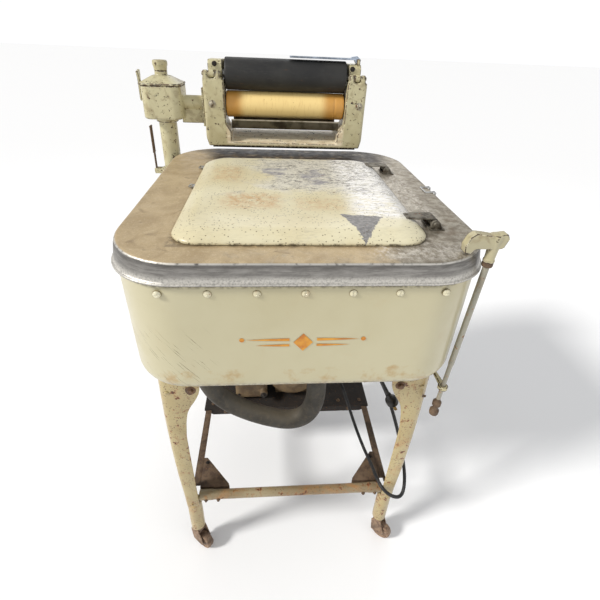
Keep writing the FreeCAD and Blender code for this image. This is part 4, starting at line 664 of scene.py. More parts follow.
def turn_to(axis):
    """A rotation that takes +Z to an axis letter, or to a direction."""
    if isinstance(axis, str):
        return AXIS[axis[-1]] if axis[0] != "-" else AXIS[axis[-1]] @ Matrix.Rotation(math.pi, 3, "X")
    return Vector(axis).normalized().to_track_quat("Z", "Y").to_matrix()


def circle(mesh, place, turn, radius, height, steps, spin=0.0):
    """Vertices round an axis, at a radius and a height along it; only one of them at radius 0."""
    angles = [2 * math.pi * part / steps + spin for part in range(steps if radius > 1e-6 else 1)]
    return [mesh.verts.new(at(*place) + turn @ Vector((radius * math.cos(angle), radius * math.sin(angle),
                                                       height)) * MM) for angle in angles]


def lathe(mesh, profile, place, axis="Z", steps=40):
    """A profile of (radius, height) turned about an axis from a place; radius 0 closes an end."""
    rows = [circle(mesh, place, turn_to(axis), radius, height, steps) for radius, height in profile]
    for low, high in zip(rows, rows[1:]):
        for index in range(steps):
            follower = (index + 1) % steps
            corners = [low[index % len(low)], low[follower % len(low)],
                       high[follower % len(high)], high[index % len(high)]]
            corners = [c for number, c in enumerate(corners) if c not in corners[:number]]
            if len(corners) > 2:
                mesh.faces.new(corners)


def rounded(points, radius, steps=5):
    """A profile whose inner corners are rounded off."""
    result = [points[0]]
    for before, corner, after in zip(points, points[1:], points[2:]):
        corner, back, ahead = Vector(corner), Vector(before), Vector(after)
        reach = min(radius, (back - corner).length * 0.45, (ahead - corner).length * 0.45)
        start = corner + (back - corner).normalized() * reach
        end = corner + (ahead - corner).normalized() * reach
        for step in range(steps + 1):
            share = step / steps
            rest = 1 - share
            result.append(tuple(start * rest ** 2 + corner * 2 * share * rest + end * share ** 2))
    result.append(points[-1])
    return result


def mirrored(half, length, middle=()):
    """A profile whose far end repeats its near end, over a length."""
    return [*half, *middle, *((radius, length - place) for radius, place in reversed(half))]


def block(mesh, low, high, bevel=1.0):
    """A box with rounded edges, from corner to corner."""
    made = bmesh.ops.create_cube(mesh, size=1.0)["verts"]
    low, high = Vector(low), Vector(high)
    for vert in made:
        vert.co = at(*(low[i] + (vert.co[i] + 0.5) * (high[i] - low[i]) for i in range(3)))
    round_edges(mesh, list(dict.fromkeys(edge for vert in made for edge in vert.link_edges)), bevel)


def plate(mesh, points, thick, place, axis="Z", bevel=0.6):
    """A flat outline with a thickness, its edges rounded; points are in the plane across the axis."""
    turn = turn_to(axis)
    rows = [[mesh.verts.new(at(*place) + turn @ Vector((u, v, height)) * MM) for u, v in points]
            for height in (0, thick)]
    faces = [mesh.faces.new(rows[0][::-1]), mesh.faces.new(rows[1])]
    bridge(mesh, rows)
    if bevel:
        round_edges(mesh, [edge for face in faces for edge in face.edges], bevel)


def round_screw(mesh, place, axis, radius, height, slot=0.22):
    """A round-head screw with a slot cut across it."""
    steps = 20
    profile = [(radius, -0.5), (radius, 0.0)]
    profile += [(radius * math.cos(part * math.pi / 12), height * math.sin(part * math.pi / 12))
                for part in range(1, 6)]
    lathe(mesh, profile + [(0, height)], place, axis, steps)
    turn = turn_to(axis)
    tilt = Matrix.Rotation(random.random() * math.pi, 3, "Z")
    centre = at(*place)
    for vert in mesh.verts[-(len(profile) - 1) * steps - 1:]:
        local = tilt @ (turn.transposed() @ (vert.co - centre))
        if abs(local.x) < radius * slot * MM and local.z > height * 0.5 * MM:
            vert.co -= turn @ Vector((0, 0, height * 0.3 * MM))


def hex_bolt(mesh, place, axis, size, height, washer=1.4):
    """A hexagon bolt head on its washer."""
    disc = [(0, 0), (size * 0.95, 0), (size, 0.3), (size, washer - 0.3), (size * 0.95, washer), (0, washer)]
    lathe(mesh, disc, place, axis, 28)
    turn, spin = turn_to(axis), random.random()
    rows = [circle(mesh, place, turn, size * share, washer + height * lift, 6, spin)
            for share, lift in ((0.62, 0), (0.62, 0.8), (0.54, 1))]
    bridge(mesh, rows)
    mesh.faces.new(rows[-1])


def tube(mesh, path, radius, steps=12):
    """A round bar along a list of points in millimetres."""
    spots = [at(*point) for point in path]
    rows = []
    side = None
    for index, spot in enumerate(spots):
        ahead = (spots[min(index + 1, len(spots) - 1)] - spots[max(index - 1, 0)]).normalized()
        if side is None:
            side = ahead.orthogonal().normalized()
        side = (side - ahead * side.dot(ahead)).normalized()
        other = ahead.cross(side)
        angles = [2 * math.pi * part / steps for part in range(steps)]
        rows.append([mesh.verts.new(spot + (side * math.cos(angle) + other * math.sin(angle)) * radius * MM)
                     for angle in angles])
    bridge(mesh, rows)
    mesh.faces.new(rows[0][::-1])
    mesh.faces.new(rows[-1])


def from_cad(node):
    """A bmesh of a CAD node's shape, its flat faces made whole."""
    mesh = bmesh.new()
    mesh.from_mesh(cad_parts[node].data)
    bmesh.ops.remove_doubles(mesh, verts=mesh.verts, dist=2e-6)
    bmesh.ops.dissolve_limit(mesh, angle_limit=math.radians(0.4), verts=mesh.verts, edges=mesh.edges)
    return mesh


def soften(node, finish, body, width=1.0, sharp=32):
    """A CAD node rebuilt with rounded edges."""
    mesh = from_cad(node)
    keen = [edge for edge in mesh.edges
            if len(edge.link_faces) == 2 and edge.calc_face_angle() > math.radians(sharp)]
    round_edges(mesh, keen, width)
    return show(node + "_finished", mesh, finish, body, (node,))


def casting(node, finish, body, voxel=1.6, passes=6, wedge=None, name=None):
    """A CAD node rebuilt as a dense casting with soft edges; a wedge of points may be taken out of it."""
    rough = solid(node + "_rough", from_cad(node))
    cutter = None
    if wedge:
        left, length, points = wedge
        shape = bmesh.new()
        plate(shape, points, length, (left, 0, 0), "X", bevel=0)
        bmesh.ops.recalc_face_normals(shape, faces=shape.faces)
        cutter = solid(node + "_wedge", shape)
        trim = rough.modifiers.new("trim", "BOOLEAN")
        trim.operation, trim.object, trim.solver = "DIFFERENCE", cutter, "EXACT"
    remesh = rough.modifiers.new("remesh", "REMESH")
    remesh.mode, remesh.voxel_size, remesh.adaptivity = "VOXEL", voxel * MM, 0.0
    ease = rough.modifiers.new("ease", "SMOOTH")
    ease.factor, ease.iterations = 0.5, passes
    bpy.context.view_layer.update()
    dense = bmesh.new()
    dense.from_mesh(rough.evaluated_get(bpy.context.evaluated_depsgraph_get()).to_mesh())
    for spent in (rough, cutter):
        if spent:
            bpy.data.objects.remove(spent)
    return show(name or node + "_cast", dense, finish, body, (node,), sharp=180)


def paint(finish, *nodes):
    """Give CAD nodes whose shape is right their material."""
    for node in nodes:
        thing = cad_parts[node]
        thing.data.materials.clear()
        thing.data.materials.append(FINISH[finish])


# ---------------------------------------------------------------- hose, cord and plug
HOSE_POINTS = (
    (52, -121, 566), (52, -121, 505), (59, -122, 440), (59, -122, 378), (42, -122, 326), (0, -121, 305),
    (-58, -120, 321), (-114, -119, 349), (-160, -118, 384), (-189, -118, 430), (-201, -119, 490),
    (-205, -120, 550), (-205, -121, 618),
)
CORD_POINTS = (
    (98, 66, 296), (122, 66, 296), (140, 32, 301), (148, -12, 309), (160, -52, 282), (176, -88, 242),
    (186, -124, 226), (193, -164, 225), (200, -204, 229), (203, -238, 233), (211, -264, 231),
    (232, -273, 216), (256, -269, 203), (269, -254, 210), (271, -234, 242), (264, -208, 286),
    (252, -190, 334), (236, -174, 384), (218, -162, 432), (194, -156, 482), (168, -160, 534),
    (157, -172, 572), (158, -190, 577), (168, -203, 546), (184, -206, 514), (199, -207, 486),
)


def smooth_line(name, points, resolution):
    """Curve data of the smooth line that follows control points."""
    data = bpy.data.curves.new(name, "CURVE")
    data.dimensions = "3D"
    data.resolution_u = resolution
    line = data.splines.new("NURBS")
    line.points.add(len(points) - 1)
    for spot, point in zip(points, line.points):
        point.co = (*at(*spot), 1.0)
    line.order_u = 3
    line.use_endpoint_u = True
    return data


def curve_piece(name, points, radius, finish, node):
    """A smooth round cord or hose along its control points."""
    data = smooth_line(name, points, 14)
    data.bevel_depth, data.bevel_resolution = radius * MM, 6
    data.use_fill_caps = True
    data.materials.append(FINISH[finish])
    thing = add_object(name, data)
    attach(thing, "washer")
    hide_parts(node)
    return thing


def line_length(points):
    """Length in metres of the smooth line that follows control points, by short steps."""
    data = smooth_line("measure", points, 24)
    thing = bpy.data.objects.new("measure", data)
    mesh = bpy.data.meshes.new_from_object(thing)
    spots = [vert.co.copy() for vert in mesh.vertices]
    bpy.data.objects.remove(thing)
    bpy.data.curves.remove(data)
    bpy.data.meshes.remove(mesh)
    return sum((b - a).length for a, b in zip(spots, spots[1:]))


def make_plug():
    """Moulded plug: a fluted taper, a gripped body and two flat brass blades."""
    end, before = Vector(CORD_POINTS[-1]), Vector(CORD_POINTS[-2])
    along = (end - before).normalized()
    mesh = bmesh.new()
    profile = [(0, 0), (5.2, 0), (6.0, 4), (5.4, 5), (6.8, 8), (6.2, 9.2), (8.6, 13), (12.4, 17), (13, 20),
               (13, 30), (12.2, 31.5), (10.5, 32), (0, 32)]
    lathe(mesh, rounded(profile, 0.8, 3), tuple(end), tuple(along), 36)
    body = show("plug_body", mesh, "plug", "washer", ("plug",))
    blades = bmesh.new()
    turn = turn_to(tuple(along))
    across = turn @ Vector((1, 0, 0))
    for side in (-6.3, 6.3):
        centre = end + along * 31.5 + across * side
        corners = [(-0.8, -3.2), (0.8, -3.2), (0.8, 3.2), (-0.8, 3.2)]
        plate(blades, corners, 17.0, tuple(centre), tuple(along), bevel=0.3)
    pins = show("plug_blades", blades, "brass")
    return [body, pins]


def make_cords():
    """The hose and the cord, with the plug and the strain relief; the lengths of their lines are measured but
    not kept.
    """
    hose = curve_piece("drain_hose_tube", HOSE_POINTS, 23.0, "hose", "drain_hose")
    line_length(HOSE_POINTS)
    cord = curve_piece("power_cord_line", CORD_POINTS, 4.0, "cord", "power_cord")
    line_length(CORD_POINTS)
    make_plug()
    relief = bmesh.new()
    lathe(relief,
          rounded([(0, -2), (8, -2), (8.6, 0), (7.4, 3), (7.8, 5), (6.6, 8), (6.9, 10), (5.8, 13), (6, 15),
                   (4.6, 22), (0, 22.5)], 0.8, 3), CORD_POINTS[0], (24, -6, 0), 24)
    show("cord_relief", relief, "plug")


# ---------------------------------------------------------------- tub
CORNER_NAMES = ("front_left", "front_right", "rear_left", "rear_right")
CORNERS = ((-1, -1), (-1, 1), (1, -1), (1, 1))
# Outlines are given as width, depth and corner radius.
RIM = (572, 640, 115)
RIM_FOOT = (580, 648, 106)
HEAD = (566, 634, 102)
FOOT = (560, 634, 98)
BOWL = (372, 404, 75)
BOWL_MIDDLE = (0, -40)
CASING_TOP, CASING_BEND, CASING_BASE = 842.0, 650.0, 622.0


def inset(size, amount, centre=(0, 0)):
    """The outline of a rounded rectangle drawn in by an amount."""
    return outline(size[0] - 2 * amount, size[1] - 2 * amount, size[2] - amount, centre=centre)


def make_rim():
    """Deck with its rolled upper edge, the band with a bead at its foot, and the inner skirt."""
    mesh = bmesh.new()
    mouth = outline(*BOWL, centre=BOWL_MIDDLE)
    rings = [level(inset(RIM, 15), 806), level(inset(RIM_FOOT, 5), 830.4)]
    for part in range(0, 9):
        angle = math.radians(-90 + part * 22.5)
        rings.append(level(inset(RIM_FOOT, 2.2 - 2.2 * math.cos(angle)), 832.2 + 2.2 * math.sin(angle)))
    for share, amount, height in ((0.20, 2.0, 837.0), (0.45, 1.7, 846.0), (0.74, 1.3, 856.0)):
        band = between_rings(inset(RIM_FOOT, amount), inset(RIM, amount), share)
        rings.append(level(band, height))
    for part in range(0, 7):
        angle = math.radians(part * 15)
        rings.append(level(inset(RIM, 6.0 - 5.4 * math.cos(angle)), 859.6 + 5.4 * math.sin(angle)))
    edge = inset(RIM, 9)
    rings.append(level(edge, 865.0))
    for share in (0.12, 0.28, 0.44, 0.6, 0.76, 0.9):
        rings.append(level(between_rings(edge, mouth, share), 864.9))
    rings += [level(mouth, 864.6), level(inset(BOWL, 1.5, BOWL_MIDDLE), 863.0),
              level(inset(BOWL, 2.0, BOWL_MIDDLE), 858.5)]
    skin(mesh, rings, ripple=0.45)
    show("rim_and_deck", mesh, "deck", "washer", ("tub_rim",), sharp=60)


def make_casing():
    """Tapered enamelled skirt with a rolled foot, an inward lip and an inner face."""
    mesh = bmesh.new()
    head, foot = outline(*HEAD), outline(*FOOT)
    rings = [level(head, CASING_TOP)]
    for share in (0.06, 0.14, 0.25, 0.4, 0.55, 0.7, 0.82, 0.92):
        rings.append(level(between_rings(head, foot, share), CASING_TOP - share * (CASING_TOP - CASING_BEND)))
    roll = CASING_BEND - CASING_BASE
    for part in range(0, 12):
        angle = math.radians(part * 90 / 11)
        tuck = roll * (1 - math.cos(angle)) * 0.8
        rings.append(level(inset(FOOT, tuck), CASING_BEND - roll * math.sin(angle)))
    rings += [level(inset(FOOT, 30), CASING_BASE), level(inset(FOOT, 41.2), CASING_BASE),
              level(inset(FOOT, 42), CASING_BASE + 1), level(inset(FOOT, 41.2), CASING_BASE + 2),
              level(inset(FOOT, 22), CASING_BASE + 2), level(inset(FOOT, 7), CASING_BASE + 14),
              level(inset(FOOT, 2), CASING_BEND + 2), level(inset(HEAD, 2), CASING_TOP)]
    skin(mesh, rings, closed=True)
    for vert in mesh.verts:
        wave = noise.noise(vert.co / 0.16) * 0.5 * MM
        vert.co += vert.co.xy.normalized().to_3d() * wave
    show("casing_skirt", mesh, "casing", "washer", ("tub_casing",), sharp=60)


def make_ornament():
    """Plain gold ornament on the front: a diamond between two pairs of tapered lines."""
    mesh = bmesh.new()
    lift = 0.7

    def spot(x, z):
        wave = noise.noise(at(x, -FOOT[1] / 2, z) / 0.16) * 0.5
        return at(x, -FOOT[1] / 2 - wave - lift, z)

    def patch(points):
        mesh.faces.new([mesh.verts.new(spot(x, z)) for x, z in points])

    centre_z = 726
    patch([(-15, centre_z), (0, centre_z + 17), (15, centre_z), (0, centre_z - 17)])
    for side in (-1, 1):
        for rise, start, length, thick in ((5.5, 21, 66, 2.6), (-5.5, 21, 52, 2.2)):
            upper = [(side * (start + length * part / 10), centre_z + rise + thick * (1 - (part / 10) ** 1.5))
                     for part in range(11)]
            lower = [(x, 2 * (centre_z + rise) - z) for x, z in reversed(upper[:-1])]
            patch(upper + lower)
        angles = [part * math.pi / 4 for part in range(8)]
        patch([(side * (93 + 4 * math.cos(angle)), centre_z + 5.5 + 4 * math.sin(angle)) for angle in angles])
    show("gold_ornament", mesh, "gilt")


def make_band_screws():
    """Slotted round-head screws round the casing and the bolts at the tops of the legs."""
    mesh, rings = bmesh.new(), bmesh.new()
    pitch, height = 68.6, 815.0
    for side in (-1, 1):
        for index in range(-3, 4):
            for spot, way in (((index * pitch, side * HEAD[1] / 2, height), (0, side, 0)),
                              ((side * (HEAD[0] / 2 - 0.4), index * pitch, height), (side, 0, 0))):
                round_screw(mesh, spot, way, 5.8, 3.6)
                lathe(rings, [(5.0, -1), (6.2, -1), (6.2, 0.4), (5.9, 0.6), (5.0, 0.6)], spot, way, 24)
    show("band_screws", mesh, "painted_screw", "washer", ("screws_and_leg_bolts",))
    # Darker rings round the screw heads: painted shade with some dirt.
    show("screw_rings_shade_and_dirt", rings, "ring_shade_and_dirt")
    bolts = bmesh.new()
    for side_x, side_y in CORNERS:
        hex_bolt(bolts, (side_x * 193, side_y * 267.2, 575), (0, side_y, 0), 9.5, 5.5)
    show("leg_bolts", bolts, "rusty_bolt")


# ---------------------------------------------------------------- lid and its hinges
LID, LID_MIDDLE = (391, 446, 42), (-2, -45)


def lid_ring(amount, z):
    """The lid's outline drawn in by an amount, at a height."""
    return level(outline(LID[0] - 2 * amount, LID[1] - 2 * amount, max(LID[2] - amount * 0.35, 12),
                         centre=LID_MIDDLE, side=18), z)


def make_lid():
    """Pressed lid: a turned-down edge, a soft shoulder and a flat, slightly uneven top."""
    mesh = bmesh.new()
    seat, top = 865.5, 883.6
    rings = [lid_ring(4, seat + 4), lid_ring(2.5, seat), lid_ring(1.0, seat), lid_ring(0, seat + 1),
             lid_ring(0.2, seat + 3.2), lid_ring(1.2, seat + 5.4)]
    for share in (0.12, 0.25, 0.4, 0.55, 0.7, 0.85, 1.0):
        rise = 5.4 + (top - seat - 5.4) * math.sin(share * math.pi / 2) ** 0.9
        rings.append(lid_ring(1.2 + 34 * share, seat + rise))
    for share in (0.25, 0.45, 0.65, 0.8, 0.92):
        rings.append(lid_ring(35.2 + (LID[0] / 2 - 40) * share, top + 0.25 * share))
    rows = skin(mesh, rings)
    mesh.faces.new(rows[-1])
    inner = [lid_ring(4, seat + 4), lid_ring(9, seat + 6.5), lid_ring(36, top - 2.4),
             lid_ring(120, top - 2.4)]
    inner_rows = skin(mesh, inner)
    mesh.faces.new(inner_rows[-1][::-1])
    bmesh.ops.remove_doubles(mesh, verts=mesh.verts, dist=1e-6)
    for vert in mesh.verts:
        wave = noise.noise(Vector((vert.co.x / 0.07, vert.co.y / 0.09, 0.0)))
        if vert.co.z > (top - 6) * MM:
            vert.co.z += (wave - 0.4) * 0.35 * MM
    show("lid_panel", mesh, "lid", "lid", ("lid",), sharp=70)


def make_hinges():
    """Strap hinges with rolled eyes on the lid, and pinned brackets on the deck."""
    straps, brackets = bmesh.new(), bmesh.new()
    pin_x, pin_z, wrap = 217.0, 875.0, 6.2
    for strap_y in (-189.0, 118.0):
        path = [(-52, 5.6), (-30, 6.9), (-12, 7.2)]
        path += [(wrap * math.sin(part * math.pi / 8) * (1 - 0.012 * part),
                  wrap * math.cos(part * math.pi / 8) * (1 - 0.012 * part)) for part in range(0, 15)]
        rows = []
        for index, (x, z) in enumerate(path):
            before = Vector(path[max(index - 1, 0)])
            after = Vector(path[min(index + 1, len(path) - 1)])
            run = (after - before).normalized()
            out = Vector((-run.y, run.x)) * 1.0
            row = []
            for side, offset in ((-14, out), (14, out), (14, -out), (-14, -out)):
                narrow = 0.72 if x < -40 else 1.0
                row.append(straps.verts.new(at(pin_x + x + offset.x, strap_y + side * narrow,
                                               pin_z + z + offset.y)))
            rows.append(row)
        bridge(straps, rows)
        straps.faces.new(rows[0][::-1])
        straps.faces.new(rows[-1])
        for bolt_y in (-6, 6):
            round_screw(straps, (pin_x - 42, strap_y + bolt_y, pin_z + 6.6), "Z", 3.0, 1.8)
        block(brackets, (pin_x - 9, strap_y - 21, 865), (pin_x + 17, strap_y + 21, 866.8), 0.6)
        for offset in (-19, 15):
            cheek = [(-7, -8.6), (13, -8.6), (8, 2), (4.6, 5.2), (0, 6.4), (-4.6, 5.2), (-7, 1)]
            plate(brackets, [(v, u) for u, v in cheek], 4.0, (pin_x, strap_y + offset, pin_z), "Y", 0.7)
        lathe(brackets, rounded(mirrored([(0, 0), (2.8, 0), (2.9, 1)], 40), 0.6, 2),
              (pin_x, strap_y - 20, pin_z), "Y", 20)
        for end in (-20.5, 20.5):
            lathe(brackets, [(0, 0), (4.4, 0), (4.4, 0.8), (3.2, 2.0), (0, 2.3)],
                  (pin_x, strap_y + end, pin_z), (0, math.copysign(1, end), 0), 18)
        for screw_y in (-11, 11):
            round_screw(brackets, (pin_x + 11, strap_y + screw_y * 0.7, 866.8), "Z", 3.0, 1.6)
    show("hinge_straps", straps, "worn_strap", "lid", ("lid_hinge_straps",), sharp=50)
    show("hinge_brackets", brackets, "worn_strap", "washer", ("lid_hinge_brackets",))


def make_small_fittings():
    """Two catches on the lid's left edge, and the spring clip on the right of the rim."""
    catches = bmesh.new()
    for catch_y in (120.0, -12.0):
        block(catches, (-203, catch_y - 7, 866.2), (-193, catch_y + 7, 870.4), 1.2)
        tube(catches, [(-204.5, catch_y - 9, 869), (-207.5, catch_y - 4, 868.2), (-207.5, catch_y + 4, 868.2),
                       (-204.5, catch_y + 9, 869)], 1.6, 8)
    show("lid_catches", catches, "plated", "lid")
    clip = bmesh.new()
    profile = [(266, 865.4), (278, 866.2), (284, 867.2), (287.6, 864.0), (288.2, 856.0), (287.4, 846.0)]
    for side in (-19, 13):
        tube(clip, [(x, -5 + side, z) for x, z in profile], 2.0, 10)
    tube(clip,
         [(profile[0][0], -24 + part * 32 / 6, profile[0][1] + 0.3 * math.sin(part)) for part in range(7)],
         2.0, 10)
    show("rim_clip", clip, "plated")


# ---------------------------------------------------------------- legs, bars and casters
LEG_OUTER = ((178, 244.5), (218, 245.5), (300, 249.5), (400, 252), (500, 252.5), (584, 251), (623, 251))
LEG_INNER = ((178, 215), (440, 215), (484, 210.6), (510, 206), (528, 199), (546, 187.6), (567, 178.5),
             (587, 176.7), (623, 176.7))


def follow(table, level):
    """A value read between the rows of a short table of levels."""
    for (low, first), (high, second) in zip(table, table[1:]):
        if level <= high:
            return first + (second - first) * (level - low) / (high - low)
    return table[-1][1]


def make_legs():
    """Pressed legs of angle section: rounded outside corner, a sweeping ear at the top, a slim foot."""
    top, foot, wall, levels = 623.0, 178.0, 3.0, 44
    for corner, (side_x, side_y) in zip(CORNER_NAMES, ((-1, -1), (1, -1), (-1, 1), (1, 1))):
        mesh = bmesh.new()
        rows = []
        for number in range(levels + 1):
            share = number / levels
            z = foot + (top - foot) * share
            out_x, in_x = follow(LEG_OUTER, z), follow(LEG_INNER, z)
            out_y = 254.5 + 13.6 * share + 1.5 * math.sin(math.pi * share)
            in_y = out_y - 29 - 12 * share - 14 * max(0.0, (z - 520) / 103) ** 2
            bend = 7 + 9 * share
            face = [(in_x, out_y - 1.2), (in_x + 1.2, out_y), (out_x - bend, out_y)]
            inside = [(out_x - wall, in_y)]
            for part in range(1, 7):
                angle = math.pi / 2 * (1 - part / 6)
                face.append((out_x - bend + bend * math.cos(angle), out_y - bend + bend * math.sin(angle)))
            face += [(out_x, in_y + 1.2), (out_x - 1.2, in_y)]
            inside.append((out_x - wall, in_y + 1.2))
            for part in range(0, 7):
                angle = math.pi / 2 * part / 6
                small = bend - wall
                inside.append((out_x - bend + small * math.cos(angle),
                               out_y - bend + small * math.sin(angle)))
            inside.append((in_x, out_y - wall))
            rows.append([mesh.verts.new(at(side_x * u, side_y * v, z)) for u, v in face + inside])
        bridge(mesh, rows)
        for row in (rows[0], rows[-1]):
            mesh.faces.new(row)
        bmesh.ops.triangulate(mesh, faces=[face for face in mesh.faces if len(face.verts) > 4])
        show("pressed_leg_" + corner, mesh, "leg", "washer", ("leg_" + corner,), sharp=50)
    collars = bmesh.new()
    profile = rounded([(12, 170), (15.4, 170), (16.4, 172), (16.4, 177), (15, 180), (12, 181)], 0.8, 3)
    for side_x, side_y in CORNERS:
        lathe(collars, profile, (side_x * 229.8, side_y * 239.8, 0), "Z", 32)
    show("leg_collars", collars, "leg")


def make_leg_details():
    """Rivets and the worn slot on the legs, and their adjusting bolts."""
    mesh = bmesh.new()
    for side in (-1, 1):
        round_screw(mesh, (side * 236, -268.0, 570), (0, -1, 0), 4.2, 2.2, slot=0)
        hex_bolt(mesh, (side * 230, -254.6, 190), (0, -1, 0), 4.2, 3.4, washer=0.6)
    show("leg_rivets", mesh, "leg")
    slot = bmesh.new()
    plate(slot, [(-12, -3), (12, -3), (12, 3), (-12, 3)], 0.8, (238, -264.6, 541), (0, -1, 0.035), 0.2)
    show("leg_slot", slot, "rust")


def make_bars():
    """Front and rear round tie bars, thicker at their bolted ends."""
    mesh, bolts = bmesh.new(), bmesh.new()
    half, radius = 214.5, 12.0
    for side in (-1, 1):
        y = side * 242.0
        end = [(0, 0), (radius * 0.9, 0), (radius, 1.5), (radius, 30), (radius * 0.92, 34),
               (radius * 0.9, 60)]
        lathe(mesh, rounded(mirrored(end, 2 * half), 2.5, 3), (-half, y, 205), "X", 36)
        for end in (-1, 1):
            for step in (16, 44):
                hex_bolt(bolts, (end * (half - step), y + side * 10.6, 201), (0, side, -0.15), 4.6, 3.0)
    show("tie_bars_round", mesh, "bar", "washer", ("tie_bars",))
    show("tie_bar_bolts", bolts, "rust")


def make_rails():
    """Side rails of angle section and folded corner gussets with their bolts."""
    mesh, bolts = bmesh.new(), bmesh.new()
    apart, reach, top, flange = 230.0, 223, 212, 15
    for side in (-1, 1):
        x = side * apart
        block(mesh, (x - 1.5, -reach, 194), (x + 1.5, reach, top), 0.7)
        low_x, high_x = sorted((x, side * (apart - flange)))
        block(mesh, (low_x, -reach, top - 3), (high_x, reach, top), 0.7)
        for side_y in (-1, 1):
            corner_x, corner_y = side * 214.4, side_y * 229.8
            points = [(0, 0), (-68 * side, 0), (-66 * side, -7 * side_y), (-8 * side, -76 * side_y),
                      (0, -76 * side_y)]
            if side * side_y < 0:
                points.reverse()
            height = 212.1 if side_y < 0 else 216.2
            plate(mesh, points, 3.0, (corner_x, corner_y, height), "Z", 0.8)
            lip_low, lip_high = sorted((corner_x - 68 * side, corner_x))
            front, back = sorted((corner_y, corner_y - 2.5 * side_y))
            block(mesh, (lip_low, front, 200), (lip_high, back, height + 2), 0.7)
            hex_bolt(bolts, (corner_x - 10 * side, corner_y - 62 * side_y, height + 3), "Z", 4.5, 3.0)
    show("rails_folded", mesh, "rust", "washer", ("rails_and_gussets",))
    show("rail_bolts", bolts, "dark_rust")


def make_platform():
    """Folded motor platform with rounded folds and its mounting bolts."""
    mesh, bolts = bmesh.new(), bmesh.new()
    half, front, back, top, lip = 235.0, -4.0, 202.0, 216.1, 195.0
    profile = [(front + 2.4, lip), (front, lip), (front, top - 4), (front + 1.2, top - 1.2), (front + 4, top),
               (back - 4, top), (back - 1.2, top - 1.2), (back, top - 4), (back, lip), (back - 2.4, lip),
               (back - 2.4, top - 4.6), (back - 5, top - 2.6), (front + 5, top - 2.6),
               (front + 2.4, top - 4.6)]
    ends = []
    for x in (-half, -half + 24, half - 24, half):
        lowest = top - 4.6 if abs(x) == half else lip
        ends.append([mesh.verts.new(at(x, y, max(z, lowest))) for y, z in profile])
    bridge(mesh, ends)
    mesh.faces.new(ends[0][::-1])
    mesh.faces.new(ends[-1])
    bmesh.ops.remove_doubles(mesh, verts=mesh.verts, dist=1e-6)
    for x in (-212, -150, 150, 212):
        for y in (16, 182):
            hex_bolt(bolts, (x, y, top), "Z", 5.6, 4.2)
    for x in (176, -176):
        hex_bolt(bolts, (x, front, 206), (0, -1, 0), 6.0, 4.5)
    show("platform_folded", mesh, "dark_rust", "washer", ("motor_platform",), sharp=30)
    show("platform_bolts", bolts, "rust")


def make_casters():
    """Cast wheels with a rounded tread, and softened caster horns."""
    for corner in CORNER_NAMES:
        low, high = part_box("caster_wheel_" + corner)
        centre = ((low + high) / 2 - MIDDLE) / MM
        mesh = bmesh.new()
        half = [(4.2, -10), (9, -10), (10, -7.5), (17, -7.5), (19, -9), (21.4, -9), (23.4, -6), (24, -2)]
        lathe(mesh, rounded(mirrored(half, 0), 1.0, 2), tuple(centre), (0.6, 0.8, 0), 44)
        show("wheel_" + corner, mesh, "caster", "wheel_" + corner, ("caster_wheel_" + corner,))
        casting("caster_fork_" + corner, "caster", "caster_" + corner, 0.9, 5,
                name="caster_horn_" + corner)


# ---------------------------------------------------------------- wringer
ROLL_Y, TRAY_Z = 280, 932
TRAY_LEFT, TRAY_RIGHT = -142, 121


def make_rolls():
    """Rubber rolls with rounded ends and a slight crown; the lower one has a groove near its right end."""
    length, groove = 287.0, 263.0
    for name, z, radius, finish in (("upper_roll", 1048.0, 35.4, "black_rubber"),
                                    ("lower_roll", 982.0, 30.4, "amber_rubber")):
        mesh = bmesh.new()
        crown = [(radius - 0.25 * (2 * part / 24 - 1) ** 2, 5 + (length - 10) * part / 24)
                 for part in range(1, 24)]
        if name == "lower_roll":
            crown = [point for point in crown if abs(point[1] - groove) > 4]
            crown += [(radius - deep, groove + offset)
                      for deep, offset in ((0.2, -1), (0.7, -0.4), (0.7, 0.4), (0.2, 1))]
            crown.sort(key=lambda point: point[1])
        end = [(8, 1.5), (12, 1.2), (radius - 5, 0), (radius - 1.6, 0.6), (radius - 0.3, 2.6),
               (radius - 0.2, 5)]
        lathe(mesh, mirrored(end, length, crown), (-154, ROLL_Y, z), "X", 72)
        show(name + "_rubber", mesh, finish, name, (name,), sharp=55)


